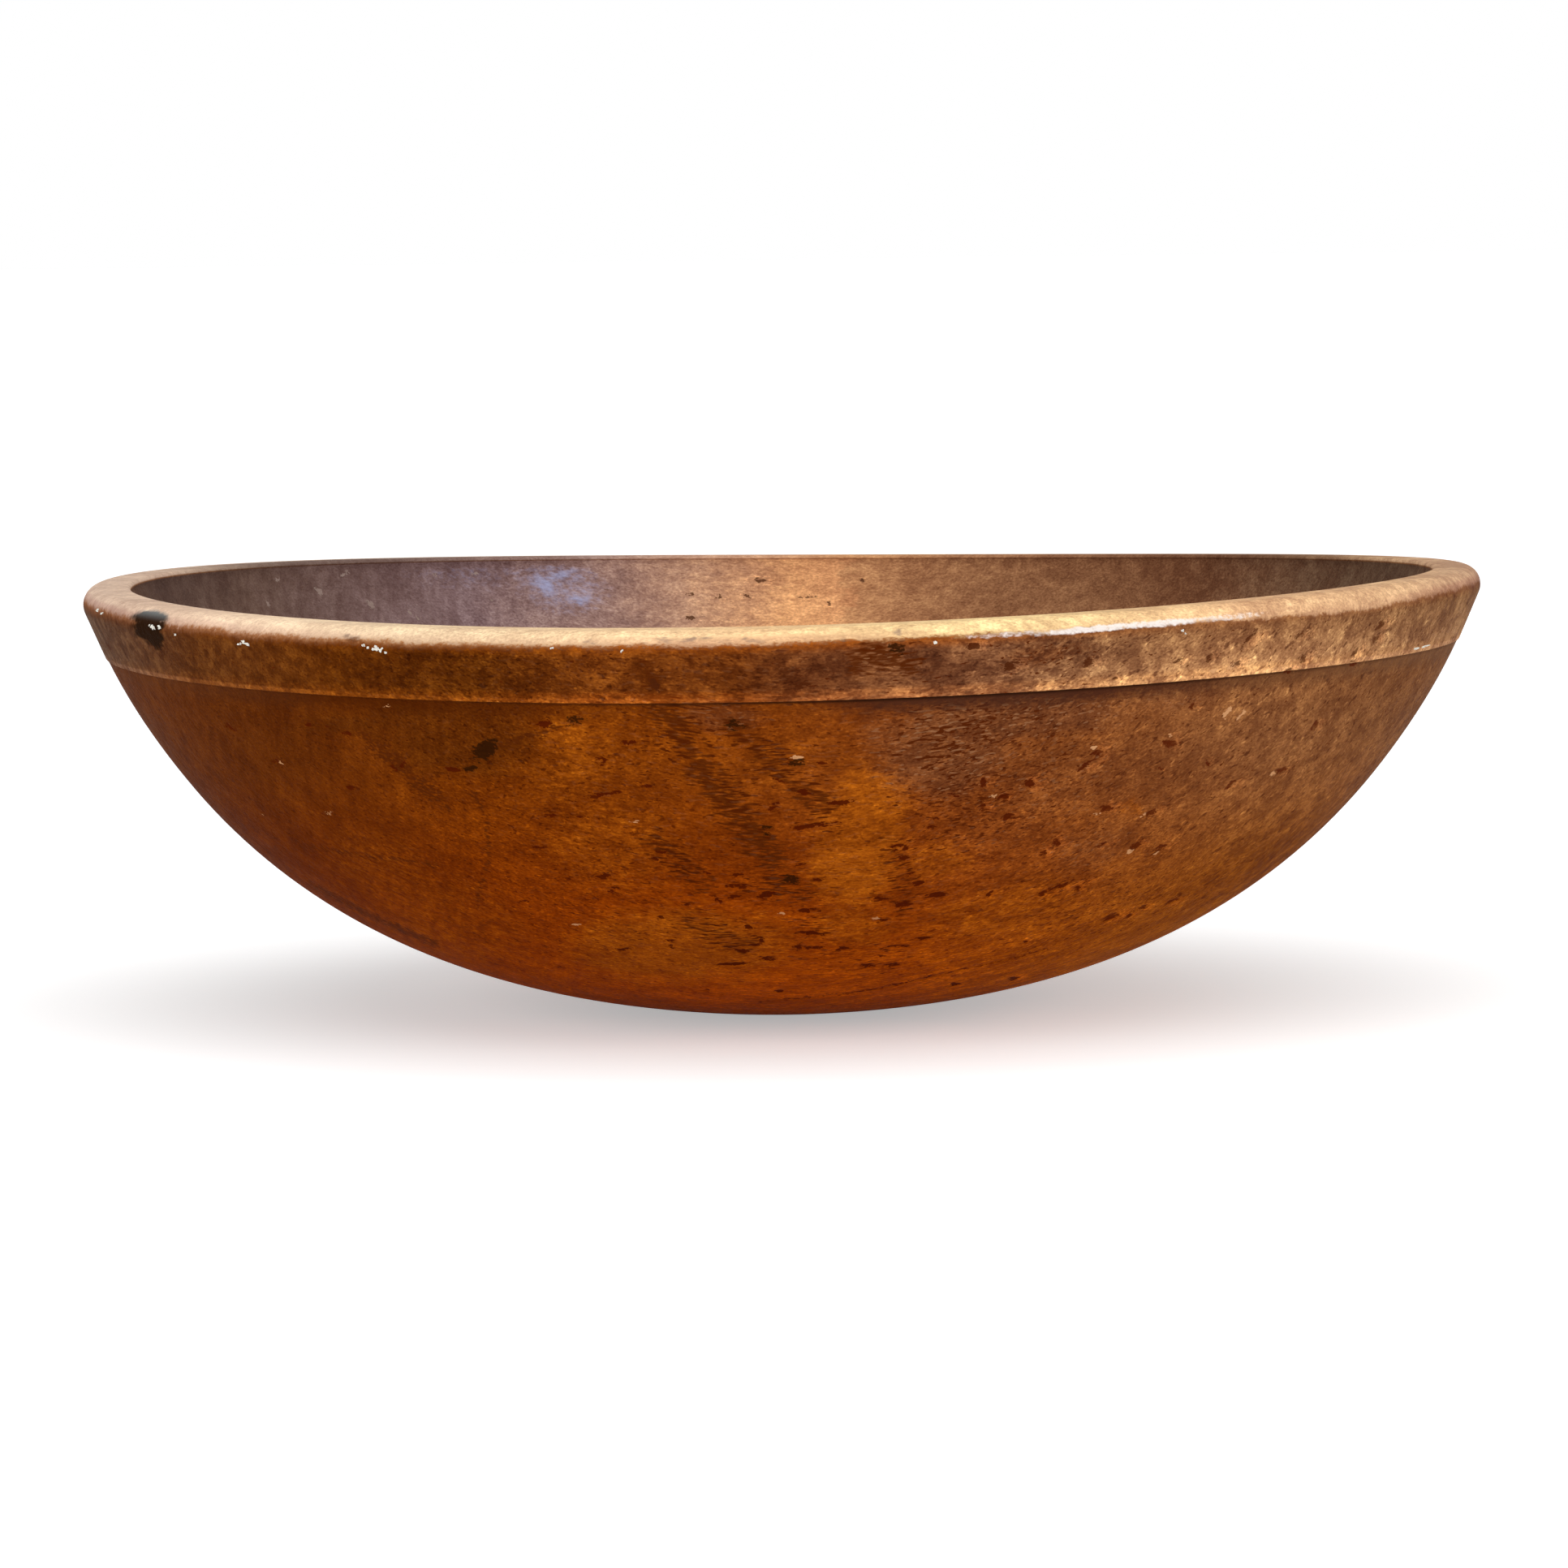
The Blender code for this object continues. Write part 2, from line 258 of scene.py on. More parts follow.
# marks in the wood, read from the photograph: pixel across, pixel down, length, height and tilt in degrees
woodMarks = {
    "seed": 7,
    "pixel": 0.000227,  # a photograph's pixel on the front of the bowl, in metres
    "pitDepth": 0.00030,
    "blotDepth": 0.4,  # as a share of a pit's
    "outsideTo": 1.9,  # radians from the camera's side where the painted outside ends
    "farWallFrom": 1.0,  # and where the far wall of the hollow starts
    "hollowPast": 0.0005,  # metres that the hollow's marks may reach past it
    "refine": [(12, 10), (6, 5), (2.5, None)],  # each finer cut: pixels round marks in sight, and hidden ones
    "wideReflection": 30,  # painted reflection as tall as this needs no finer faces
    "thin": 10,  # lines narrower than this keep crisp edges
    # wander of painted edges: cell in metres, reach in pixels, and how much of the small one the large one
    # takes in and how much of it goes up and down
    "wander": {"small": (0.0019, 3.2), "large": (0.009, 9.0), "smallInLarge": 1.4, "upDown": 0.6},
    # how marks are painted: layer, then where its soft edge starts and ends, in sizes of the mark
    "brushes": {
        "pits": ("pit", 0.2, 1.5), "besides": ("halo", 0.2, 1.3), "blots": ("blot", 0.3, 1.4),
        "pale": ("pale", 0.3, 1.25), "drifts": ("drift", 0.3, 1.3), "dusky": ("dusky", 0.4, 1.3),
        "olive": ("olive", 0.4, 1.3), "gold": ("gold", 0.4, 1.3), "knot": ("knot", 0.5, 1.2),
        "sheen": ("sheen", 0.5, 1.2), "smudges": ("smudge", 0.2, 1.3), "haze": ("haze", 0.3, 1.4),
        "hollowEyes": ("pit", 0.1, 1.1), "hollowPale": ("pale", 0.3, 1.25),
    },
    "frayed": ("drifts", "dusky", "olive", "gold", "smudges"),  # kinds whose edges wander far
    "onFarWall": ("haze", "hollowEyes", "hollowPale"),  # kinds in the hollow, the others are outside
    "lineEdges": {"stains": (0, 0.9), "cracks": (0.3, 1.1)},  # soft edges, as shares of the width
    # strengths, drawn between two ends
    "strengths": {
        "pits": (0.75, 1.0), "besides": (0.5, 1.0), "pale": (0.5, 1.0), "hollowEyes": (0.45, 0.72),
        "eyeRings": (0.08, 0.24), "hiddenPits": (0.7, 1.0),
    },
    "paleInHollow": 0.75,
    "haloFrom": 1180,  # pits to the right of this pixel have a pale patch beside them, lighter wood with a painted highlight on the pit's edge
    "beside": (0.45, 0.2, 1.7, 2.2),  # that patch, in lengths and heights of its pit: right, up, long, tall
    "faintBefore": 500,  # pale chips to the left of this pixel are worn faint
    "faint": 0.42,
    # ring of an eye, in its own sizes: middle of the ring, soft edges, strength, and how even it is round
    "eyeRing": {
        "at": 0.75, "hollowAt": 1.3, "edges": (0.1, 0.6), "most": 0.62,
        "even": 0.75, "uneven": 0.6, "turn": (0, 6),
    },
    "pits": [
        (743, 979, 46, 6, 9), (800, 969, 22, 5, 0), (678, 1005, 18, 4, 3), (716, 1006, 14, 3, 5),
        (666, 1044, 22, 3, 0), (816, 1050, 18, 6, 3), (807, 1059, 10, 5, 10), (742, 1080, 22, 7, 3),
        (646, 1111, 16, 4, 5), (848, 1115, 7, 4, 0), (813, 1131, 9, 5, 10), (827, 1159, 10, 4, 0),
        (827, 1166, 8, 3, 0), (769, 1170, 24, 4, 0), (912, 1078, 20, 5, 3), (908, 1092, 32, 6, 3),
        (945, 1103, 24, 9, 12), (998, 1122, 26, 5, 3), (923, 1142, 10, 4, 0), (945, 1181, 22, 5, 0),
        (904, 1188, 42, 4, 3), (983, 1167, 16, 8, 0), (962, 1221, 11, 3, 0), (871, 1221, 7, 3, 0),
        (992, 977, 18, 10, -10), (954, 993, 15, 9, 35), (1004, 1017, 66, 6, 7), (669, 892, 20, 9, 10),
        (559, 948, 20, 7, -5), (1035, 989, 32, 7, 8), (1001, 1150, 46, 4, -3), (998, 1168, 34, 4, 3),
        (1037, 1169, 20, 4, 8), (1104, 1166, 30, 3, 5), (1101, 1189, 28, 5, 5), (1130, 1089, 15, 8, 15),
        (1112, 1115, 24, 9, 15), (1088, 1134, 18, 5, 3), (1086, 1108, 20, 4, 8), (1155, 1103, 25, 8, 5),
        (1212, 964, 12, 7, 70), (1268, 966, 15, 10, -25), (1353, 928, 14, 10, -10), (1211, 995, 12, 7, 20),
        (1236, 982, 16, 6, 5), (1242, 1007, 17, 8, 10), (1363, 996, 17, 8, 15), (1302, 1039, 11, 9, 60),
        (1286, 1051, 12, 8, 40), (1400, 1042, 15, 8, 20), (1285, 1101, 14, 6, 10), (1306, 1092, 42, 4, 18),
        (1327, 1095, 11, 5, 10), (1368, 1130, 24, 6, 25), (1391, 1128, 10, 5, 30), (1264, 1160, 7, 4, 0),
        (1249, 1206, 14, 4, 10), (1177, 1213, 14, 4, 5), (1441, 916, 15, 11, -10), (1469, 871, 9, 6, 60),
        (1420, 1000, 20, 6, 30), (1430, 1044, 16, 8, 25), (1430, 948, 6, 5, 0), (1488, 940, 9, 5, 80),
        (1579, 949, 16, 6, 30), (1517, 966, 20, 4, 35), (1444, 1111, 18, 4, 20), (1620, 893, 14, 5, 60),
        (380, 892, 6, 4, 0), (401, 896, 7, 4, 0), (285, 897, 16, 5, -30), (433, 971, 16, 5, 0),
        (428, 904, 24, 4, -15), (340, 938, 10, 4, 0), (987, 845, 18, 13, 20), (806, 842, 25, 8, -65),
        (1245, 821, 24, 11, 30), (1339, 817, 18, 9, 30), (1373, 837, 8, 6, 20), (1201, 796, 18, 7, 10),
        (1490, 811, 12, 6, 70), (1524, 818, 13, 7, 30), (1606, 811, 14, 6, 60), (1695, 788, 12, 6, 50),
        (1452, 815, 16, 5, 20), (1587, 826, 12, 6, 20), (1667, 817, 12, 6, 30), (1116, 1057, 20, 6, -10),
        (1121, 1077, 14, 5, 15), (1006, 1084, 14, 4, 0), (905, 1105, 18, 4, 10), (985, 1066, 18, 4, 15),
        (1148, 1019, 14, 5, 5), (1155, 1010, 12, 4, 5), (884, 1108, 14, 6, -45), (912, 1171, 24, 4, -5),
        (1086, 1178, 14, 3, 0), (1068, 1190, 18, 5, 0), (1138, 1156, 26, 3, 8), (1174, 980, 14, 5, 0),
        (1357, 1041, 20, 4, 25), (1220, 1101, 10, 4, 30), (1408, 1118, 12, 4, 25), (1338, 943, 26, 4, 35),
        (870, 1075, 14, 4, -20), (960, 962, 16, 5, -20), (1012, 940, 12, 4, 0), (1538, 788, 26, 6, 40),
        (1602, 782, 18, 5, 45), (1700, 770, 18, 5, 50), (1668, 804, 18, 5, 45),
    ],
    "eyes": [
        (761, 1098, 20, 11, 0), (930, 1159, 24, 14, 0), (1108, 1045, 22, 9, 5), (738, 939, 18, 12, 0),
        (775, 913, 15, 12, 0), (490, 942, 18, 14, 20),
    ],
    # pale flecks of wood, among them painted glints on the upper edges of pits
    "pale": [
        (783, 1011, 22, 3, 3), (710, 1139, 18, 3, 0), (962, 1125, 12, 3, 0), (983, 933, 15, 5, 10),
        (1347, 921, 10, 5, 20), (1441, 907, 9, 5, 10), (1258, 968, 10, 4, 10), (1352, 1003, 12, 4, 10),
        (1568, 954, 12, 4, 30), (1410, 1004, 14, 4, 25), (405, 1002, 9, 5, 0), (324, 1004, 6, 4, 0),
        (475, 870, 14, 4, 10), (345, 940, 12, 6, 20), (1392, 1049, 10, 4, 20), (1424, 1051, 10, 4, 20),
        (1080, 1131, 10, 3, 5), (1228, 980, 10, 4, 5), (1512, 878, 22, 6, 60), (1530, 880, 20, 6, 60),
        (1496, 826, 16, 6, 20), (1520, 820, 20, 8, 25),
    ],
    # marks on the far wall of the hollow
    "hollowEyes": [
        (848, 733, 24, 12, 0), (886, 735, 16, 8, 0), (920, 735, 14, 7, 0), (935, 716, 22, 10, 0),
        (852, 762, 20, 9, 0), (993, 735, 30, 8, 0), (1022, 743, 10, 8, 0), (1062, 716, 12, 6, 0),
    ],
    "hollowPale": [
        (425, 706, 7, 12, -60), (341, 715, 7, 8, 0), (392, 728, 18, 6, -45), (331, 744, 14, 6, -40),
        (456, 745, 18, 6, -50), (505, 755, 10, 5, -40), (515, 762, 10, 5, -40), (585, 707, 8, 6, 40),
        (537, 708, 10, 6, 0), (607, 741, 8, 6, 0),
    ],
    # lines: width, strength, then the pixels that they run through
    "stains": [
        (36, 0.88, [(812, 866), (838, 905), (862, 945), (893, 985)]),
        (32, 1, [(878, 968), (925, 1018), (950, 1058)]),
        (26, 0.7, [(905, 893), (941, 932), (989, 975), (1018, 994)]),
        (26, 0.58, [(808, 1036), (838, 1062), (862, 1088)]), (30, 0.5, [(948, 1084), (985, 1090)]),
        (34, 0.26, [(1092, 1045), (1110, 1080), (1120, 1120)]),
        (22, 0.52, [(845, 1135), (880, 1150), (925, 1165)]), (16, 0.85, [(452, 905), (490, 942), (540, 985)]),
        (8, 0.8, [(382, 1089), (455, 1128), (537, 1163)]), (6, 0.5, [(373, 1042), (455, 1055), (540, 1066)]),
        (8, 0.7, [(612, 919), (650, 908), (690, 896)]),
        (6, 0.55, [(582, 975), (600, 1010), (602, 1060), (588, 1110)]),
        (34, 0.75, [(1060, 812), (1090, 806), (1118, 822)]), (20, 0.6, [(802, 815), (808, 850)]),
    ],
    "cracks": [
        (1.8, 0.36, [(1290, 1169), (1233, 1184), (1148, 1203), (1077, 1219), (1033, 1225), (935, 1235)]),
    ],
    # tones with a strength after the tilt; the painted reflection is in the hollow
    "blots": [
        (597, 924, 34, 24, 35, 1), (579, 946, 18, 8, 15, 0.7), (907, 893, 28, 16, 0, 0.55),
        (709, 888, 34, 14, 0, 0.5), (974, 1084, 24, 16, 0, 0.6), (983, 940, 26, 9, 5, 0.6),
        (946, 1022, 18, 16, 0, 0.4), (1105, 800, 26, 22, 0, 0.5),
    ],
    # dark figure of the wood; the mark along the step at the right, at 1450 across, is painted shade under
    # the band
    "dusky": [
        (1240, 884, 330, 60, 3, 1), (1165, 925, 190, 130, 8, 0.85), (1290, 960, 240, 120, 10, 0.3),
        (1230, 1000, 190, 110, 10, 0.2), (1080, 806, 70, 36, 0, 0.9), (1290, 806, 110, 34, 4, 0.9),
        (890, 884, 130, 40, 0, 0.55), (1085, 905, 80, 60, 0, 0.5), (1450, 856, 220, 40, 8, 0.6),
        (1345, 1045, 120, 56, 15, 0.4),
    ],
    "drifts": [
        (1165, 910, 170, 120, 0, 1), (1190, 990, 190, 130, 10, 0.85), (1290, 940, 200, 170, 10, 0.45),
        (1320, 1050, 180, 120, 20, 0.25), (838, 915, 90, 120, -55, 0.85), (925, 1020, 110, 50, -50, 0.9),
        (955, 935, 170, 60, -38, 0.9), (1010, 1000, 120, 60, 0, 0.5), (1110, 1085, 80, 110, 0, 0.55),
        (945, 1090, 130, 60, 0, 0.9), (835, 1065, 110, 50, -45, 1), (890, 1150, 150, 60, -10, 0.65),
        (1050, 1175, 200, 70, 0, 0.5), (990, 1150, 160, 50, 0, 0.5), (1090, 812, 130, 60, 0, 0.5),
        (1290, 812, 160, 50, 0, 0.4), (760, 1120, 240, 140, 0, 0.25), (880, 875, 140, 40, 0, 0.6),
        (1350, 1110, 240, 90, 15, 0.35), (900, 985, 120, 60, -50, 0.9), (1200, 880, 240, 60, 3, 0.9),
    ],
    "olive": [(520, 886, 380, 44, 3, 0.9), (330, 900, 200, 200, 0, 0.35), (570, 912, 220, 100, 0, 1)],
    "gold": [
        (700, 930, 120, 120, 0, 0.45), (960, 930, 120, 80, 30, 0.2), (1072, 998, 110, 130, 10, 0.9),
        (1050, 1062, 120, 130, 0, 1), (760, 1040, 200, 130, 0, 0.4), (1240, 1120, 220, 70, 12, 0.5),
        (1050, 1020, 110, 80, 0, 0.6), (1050, 1140, 120, 60, 0, 0.55), (840, 1165, 300, 100, 0, 1),
        (560, 1130, 240, 110, -15, 0.3), (470, 1070, 160, 100, -25, 0.24), (1395, 998, 34, 26, 0, 0.5),
        (1150, 1060, 110, 60, 10, 0.5),
    ],
    "knot": [
        (185, 761, 52, 20, 0, 0.85), (184, 771, 46, 18, 0, 0.95), (182, 779, 36, 20, 0, 1),
        (190, 786, 24, 22, -20, 1), (195, 796, 12, 12, -15, 0.6),
    ],
    # painted highlight along the rim's outer corner at the right
    "sheen": [
        (1240, 782, 130, 7, 4, 0.5), (1350, 775, 160, 9, 5, 1), (1430, 768, 130, 9, 5, 0.95),
        (1510, 761, 110, 8, 6, 0.5),
    ],
    "smudges": [
        (856, 788, 22, 10, 0, 0.8), (922, 790, 26, 10, 0, 0.8), (1040, 788, 16, 10, 0, 0.7),
        (1105, 782, 14, 12, 0, 1), (724, 793, 20, 10, 0, 0.6), (435, 786, 34, 12, 0, 0.8),
        (840, 790, 130, 12, 0, 0.4), (935, 791, 80, 10, 0, 0.35),
    ],
    # a bluish painted reflection on the far wall of the hollow
    "haze": [
        (688, 709, 50, 11, 12, 0.66), (672, 721, 36, 17, -28, 0.8), (715, 739, 36, 11, -4, 0.78),
        (662, 713, 20, 20, 0, 0.6), (692, 722, 130, 70, -12, 0.36), (610, 704, 260, 60, 0, 0.15),
    ],
    # the same kinds of marks on the sides that the photograph hides: sizes in pixels, bearings in radians
    # clear of the camera's side, runs in metres after the corner, before the wall's end or after the step
    "hidden": {
        "seed": 23, "long": (9, 34), "tall": (4, 9),
        "pits": {"count": 90, "clear": 1.15, "after": 0.004, "before": 0.03, "swing": 25, "tilt": (-10, 10)},
        "hollowPits": {"count": 60, "share": (0.15, 0.93), "tilt": (-25, 25)},
        "stains": {
            "count": 12, "clear": 1.3, "run": (0.005, 0.07), "lean": (-0.5, 0.5), "drop": (0.02, 0.06),
            "width": (16, 36),
        },
        "stainLayers": [("stain", 0.9, 0.6), ("drift", 2.0, 0.8)],  # edge as a share of the width, strength
        "outerMost": 0.85, "hollowMost": 0.62,
    },
}


def ellipseDistance(across, down, mark):
    # 1 on the edge of the mark's ellipse, 0 in its middle
    tilt = radians(mark[4])
    right = across - mark[0]
    up = mark[1] - down
    along = (right * cos(tilt) + up * sin(tilt)) / (mark[2] / 2)
    over = (up * cos(tilt) - right * sin(tilt)) / (mark[3] / 2)
    return np.hypot(along, over)


def lineDistance(across, down, route):
    # pixels from the nearest stretch of a route
    nearest = np.full(across.shape, np.inf)
    for (x0, y0), (x1, y1) in zip(route[:-1], route[1:]):
        length = hypot(x1 - x0, y1 - y0)
        share = ((across - x0) * (x1 - x0) + (down - y0) * (y1 - y0)) / length ** 2
        share = np.clip(share, 0.0, 1.0)
        gap = np.hypot(across - x0 - share * (x1 - x0), down - y0 - share * (y1 - y0))
        nearest = np.minimum(nearest, gap)
    return nearest


def halfTurn(angles):
    # the same angles, between half a turn back and half a turn on
    return (angles + pi) % (2 * pi) - pi


def bearings(points):
    # turn from the camera's side, positive to the photograph's right
    front = atan2(-cos(photoView["around"]), sin(photoView["around"]))
    return halfTurn(np.arctan2(points[:, 1], points[:, 0]) - front)


def surfaceOffset(points, runs, mark, pixel):
    # distance from a hidden mark round the bowl and along its section, in pixels
    away = halfTurn(bearings(points) - mark[0])
    return away * np.hypot(points[:, 0], points[:, 1]) / pixel, (runs - mark[1]) / pixel


def hiddenMarks(hidden, runMarks):
    # seeded marks for the back, the sides and the hollow: bearing, run in metres, length, height, tilt
    dice = random.Random(hidden["seed"])
    outer, hollow, stains = [], [], []
    pits = hidden["pits"]
    for count in range(pits["count"]):
        bearing = dice.uniform(pits["clear"], 2 * pi - pits["clear"])
        run = dice.uniform(runMarks["corner"] + pits["after"], runMarks["wall"] - pits["before"])
        tilt = pits["swing"] * sin(2 * bearing) + dice.uniform(*pits["tilt"])
        outer.append((bearing, run, dice.uniform(*hidden["long"]), dice.uniform(*hidden["tall"]), tilt))
    pits = hidden["hollowPits"]
    for count in range(pits["count"]):
        bearing = dice.uniform(0, 2 * pi)
        run = runMarks["hollow"] * dice.uniform(*pits["share"])
        tilt = dice.uniform(*pits["tilt"])
        hollow.append((bearing, run, dice.uniform(*hidden["long"]), dice.uniform(*hidden["tall"]), tilt))
    # a stain's width, lean and drop in place of the sizes
    streaks = hidden["stains"]
    for count in range(streaks["count"]):
        bearing = dice.uniform(streaks["clear"], 2 * pi - streaks["clear"])
        run = dice.uniform(*(runMarks["step"] + past for past in streaks["run"]))
        lean = dice.uniform(*streaks["lean"])
        drop = dice.uniform(*streaks["drop"])
        stains.append((bearing, run, dice.uniform(*streaks["width"]), lean, drop))
    return outer, hollow, stains


def zoneMasks(points, normals, runs, marks, runMarks, place):
    # which points the photograph sees: on the outside and rim, and on the far wall of the hollow
    seen = np.einsum("ij,ij->i", np.array(place[0]) - points, normals) > 0
    bearing = np.abs(bearings(points))
    outside = seen & (runs > runMarks["ease"]) & (bearing < marks["outsideTo"])
    farWall = seen & (runs < runMarks["hollow"] + marks["hollowPast"]) & (bearing > marks["farWallFrom"])
    return outside, farWall


def refineNearMarks(shell, marks, hidden, runMarks, place):
    # smaller faces round the marks, so that they can be cut and coloured finely
    outerHidden, hollowHidden = hidden[:2]
    runLayer = shell.verts.layers.float["run"]
    for margin, hiddenMargin in marks["refine"]:
        faces = shell.faces[:]
        points = np.array([face.calc_center_median()[:] for face in faces])
        normals = np.array([face.normal[:] for face in faces])
        runs = np.array([sum(vert[runLayer] for vert in face.verts) / len(face.verts) for face in faces])
        outside, farWall = zoneMasks(points, normals, runs, marks, runMarks, place)
        across, down = photoPixels(points, photoView, place)
        chosen = np.zeros(len(faces), bool)
        wanted = [(outside, mark) for name in ("pits", "eyes", "blots", "pale") for mark in marks[name]]
        wanted += [(farWall, mark) for name in ("hollowEyes", "hollowPale") for mark in marks[name]]
        if hiddenMargin:
            wanted += [(farWall, mark) for mark in marks["haze"] if mark[3] < marks["wideReflection"]]
            wanted += [(outside, mark) for mark in marks["knot"] + marks["smudges"] + marks["sheen"]]
            for mark in outerHidden + hollowHidden:
                gap, along = surfaceOffset(points, runs, mark, marks["pixel"])
                grown = (0, 0, mark[2] + 2 * hiddenMargin, mark[3] + 2 * hiddenMargin, mark[4])
                chosen |= ellipseDistance(gap, along, grown) < 1
        for zone, mark in wanted:
            grown = (mark[0], mark[1], mark[2] + 2 * margin, mark[3] + 2 * margin, mark[4])
            chosen |= zone & (ellipseDistance(across, down, grown) < 1)
        for width, strength, route in marks["cracks"] + marks["stains"]:
            if width < marks["thin"]:
                chosen |= outside & (lineDistance(across, down, route) < width / 2 + margin)
        edges = dict.fromkeys(edge for index in np.nonzero(chosen)[0] for edge in faces[index].edges)
        bmesh.ops.subdivide_edges(shell, edges=list(edges), cuts=1, use_grid_fill=True)
        shell.normal_update()


def finishMesh(shell, name):
    mesh = bpy.data.meshes.new(name)
    shell.to_mesh(mesh)
    shell.free()
    return mesh


def addObject(name, data):
    added = bpy.data.objects.new(name, data)
    bpy.context.scene.collection.objects.link(added)
    return added


hidden = hiddenMarks(woodMarks["hidden"], runMarks)
refineNearMarks(shell, woodMarks, hidden, runMarks, place)
bowlMesh = finishMesh(shell, "turned_bowl")
triangles = sum(len(polygon.vertices) - 2 for polygon in bowlMesh.polygons)
print("refined near the marks:", len(bowlMesh.vertices), "points,", triangles, "triangles")


def softEdge(distance, inner, outer):
    # 1 inside, 0 outside, smooth between
    share = np.clip((outer - distance) / (outer - inner), 0.0, 1.0)
    return share * share * (3 - 2 * share)


def readMesh(mesh):
    count = len(mesh.vertices)
    points = np.empty(count * 3)
    mesh.vertices.foreach_get("co", points)
    normals = np.empty(count * 3)
    mesh.vertex_normals.foreach_get("vector", normals)
    runs = np.empty(count)
    mesh.attributes["run"].data.foreach_get("value", runs)
    return points.reshape(-1, 3), normals.reshape(-1, 3), runs


def shaken(points, cell, reach):
    # a wander of the painted edges, in pixels
    return reach * np.array([noise.noise_vector(Vector(point) / cell)[:2] for point in points])


def paintMarks(points, normals, runs, marks, hidden, runMarks, place):
    # how strongly each mark shows at each point
    dice = random.Random(marks["seed"])
    noise.seed_set(marks["seed"])
    outside, farWall = zoneMasks(points, normals, runs, marks, runMarks, place)
    across, down = photoPixels(points, photoView, place)
    wander = marks["wander"]
    small = shaken(points, *wander["small"])
    large = shaken(points, *wander["large"]) + wander["smallInLarge"] * small
    fine = (across + small[:, 0], down + wander["upDown"] * small[:, 1])
    rough = (across + large[:, 0], down + large[:, 1])
    paint = {}

    def add(layer, value, zone):
        paint[layer] = np.maximum(paint.get(layer, 0.0), value * zone)

    def dab(kind, mark, strength):
        layer, inner, outer = marks["brushes"][kind]
        where = rough if kind in marks["frayed"] else fine
        zone = farWall if kind in marks["onFarWall"] else outside
        add(layer, softEdge(ellipseDistance(*where, mark), inner, outer) * strength, zone)

    def drawn(kind):
        return dice.uniform(*marks["strengths"][kind])

    for mark in marks["pits"]:
        dab("pits", mark, drawn("pits"))
        if mark[0] > marks["haloFrom"]:
            column, row, long, tall, tilt = mark
            right, up, longer, taller = marks["beside"]
            beside = (column + right * long, row - up * tall, longer * long, taller * tall, tilt)
            dab("besides", beside, drawn("besides"))
    for mark in marks["pale"]:
        dab("pale", mark, drawn("pale") if mark[0] > marks["faintBefore"] else marks["faint"])
    ring = marks["eyeRing"]
    for mark in marks["eyes"]:
        turned = np.arctan2(down - mark[1], across - mark[0]) + dice.uniform(*ring["turn"])
        gapped = np.clip(ring["even"] + ring["uneven"] * np.sin(turned), 0, 1)
        away = np.abs(ellipseDistance(*fine, mark) - ring["at"])
        add("pit", softEdge(away, *ring["edges"]) * gapped * ring["most"], outside)
    for mark in marks["hollowEyes"]:
        dab("hollowEyes", mark, drawn("hollowEyes"))
        away = np.abs(ellipseDistance(*fine, mark) - ring["hollowAt"])
        add("halo", softEdge(away, *ring["edges"]) * drawn("eyeRings"), farWall)
    for mark in marks["hollowPale"]:
        dab("hollowPale", mark, marks["paleInHollow"])
    for kind in ("blots", "drifts", "dusky", "olive", "gold", "knot", "sheen", "smudges", "haze"):
        for mark in marks[kind]:
            dab(kind, mark, mark[5])
    for kind, layer in (("stains", "stain"), ("cracks", "pit")):
        inner, outer = marks["lineEdges"][kind]
        for width, strength, route in marks[kind]:
            distance = lineDistance(*(fine if width < marks["thin"] else rough), route)
            add(layer, softEdge(distance, width * inner, width * outer) * strength, outside)

    # the sides that the photograph hides
    settings = marks["hidden"]
    onOuter = runs > runMarks["rimTop"]
    outerHidden, hollowHidden, hiddenStains = hidden
    sides = ((outerHidden, onOuter, settings["outerMost"]), (hollowHidden, ~onOuter, settings["hollowMost"]))
    inner, outer = marks["brushes"]["pits"][1:3]
    for listed, side, most in sides:
        for mark in listed:
            gap, along = surfaceOffset(points, runs, mark, marks["pixel"])
            distance = ellipseDistance(gap + small[:, 0], along + small[:, 1], (0, 0, *mark[2:]))
            add("pit", softEdge(distance, inner, outer) * most * drawn("hiddenPits"), side)
    for mark in hiddenStains:
        width, lean = mark[2:4]
        drop = mark[4] / marks["pixel"]
        gap, along = surfaceOffset(points, runs, mark, marks["pixel"])
        distance = lineDistance(gap + large[:, 0], along + large[:, 1], [(0, 0), (lean * drop, drop)])
        for layer, share, strength in settings["stainLayers"]:
            add(layer, softEdge(distance, 0.0, width * share) * strength, onOuter)
    return paint


def fillStep(points, runs, shape, runMarks):
    # at the photograph's two sides the band's step is worn almost flush
    worn = softEdge(np.abs(np.abs(bearings(points)) - pi / 2), *shape["stepWorn"])
    below = np.clip((runs - runMarks["lip"]) / (runMarks["step"] - runMarks["lip"]), 0, 1)
    below = below * softEdge(runs - runMarks["step"], *shape["stepFade"])
    out = shape["stepFill"] * worn * below
    moved = out > 0
    points[moved, :2] *= (1 + out[moved] / np.hypot(points[moved, 0], points[moved, 1]))[:, None]


points, normals, runs = readMesh(bowlMesh)
paint = paintMarks(points, normals, runs, woodMarks, hidden, runMarks, place)
fillStep(points, runs, bowlShape, runMarks)
cut = np.maximum(paint["pit"], woodMarks["blotDepth"] * paint["blot"])
points -= normals * (cut * woodMarks["pitDepth"])[:, None]
bowlMesh.vertices.foreach_set("co", points.ravel())
for name, values in paint.items():
    layer = bowlMesh.attributes.new(name, "FLOAT", "POINT")
    layer.data.foreach_set("value", values)
bowlMesh.update()
bowlMesh.shade_smooth()
bowl = addObject("turned_bowl", bowlMesh)
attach(bowl, "root")
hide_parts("bowl")
print("marks cut and painted")


def startNodes(holder):
    # the functions below add nodes to this holder's tree, until the next one is started
    global nodeTree
    holder.use_nodes = True
    nodeTree = holder.node_tree
    return nodeTree.nodes


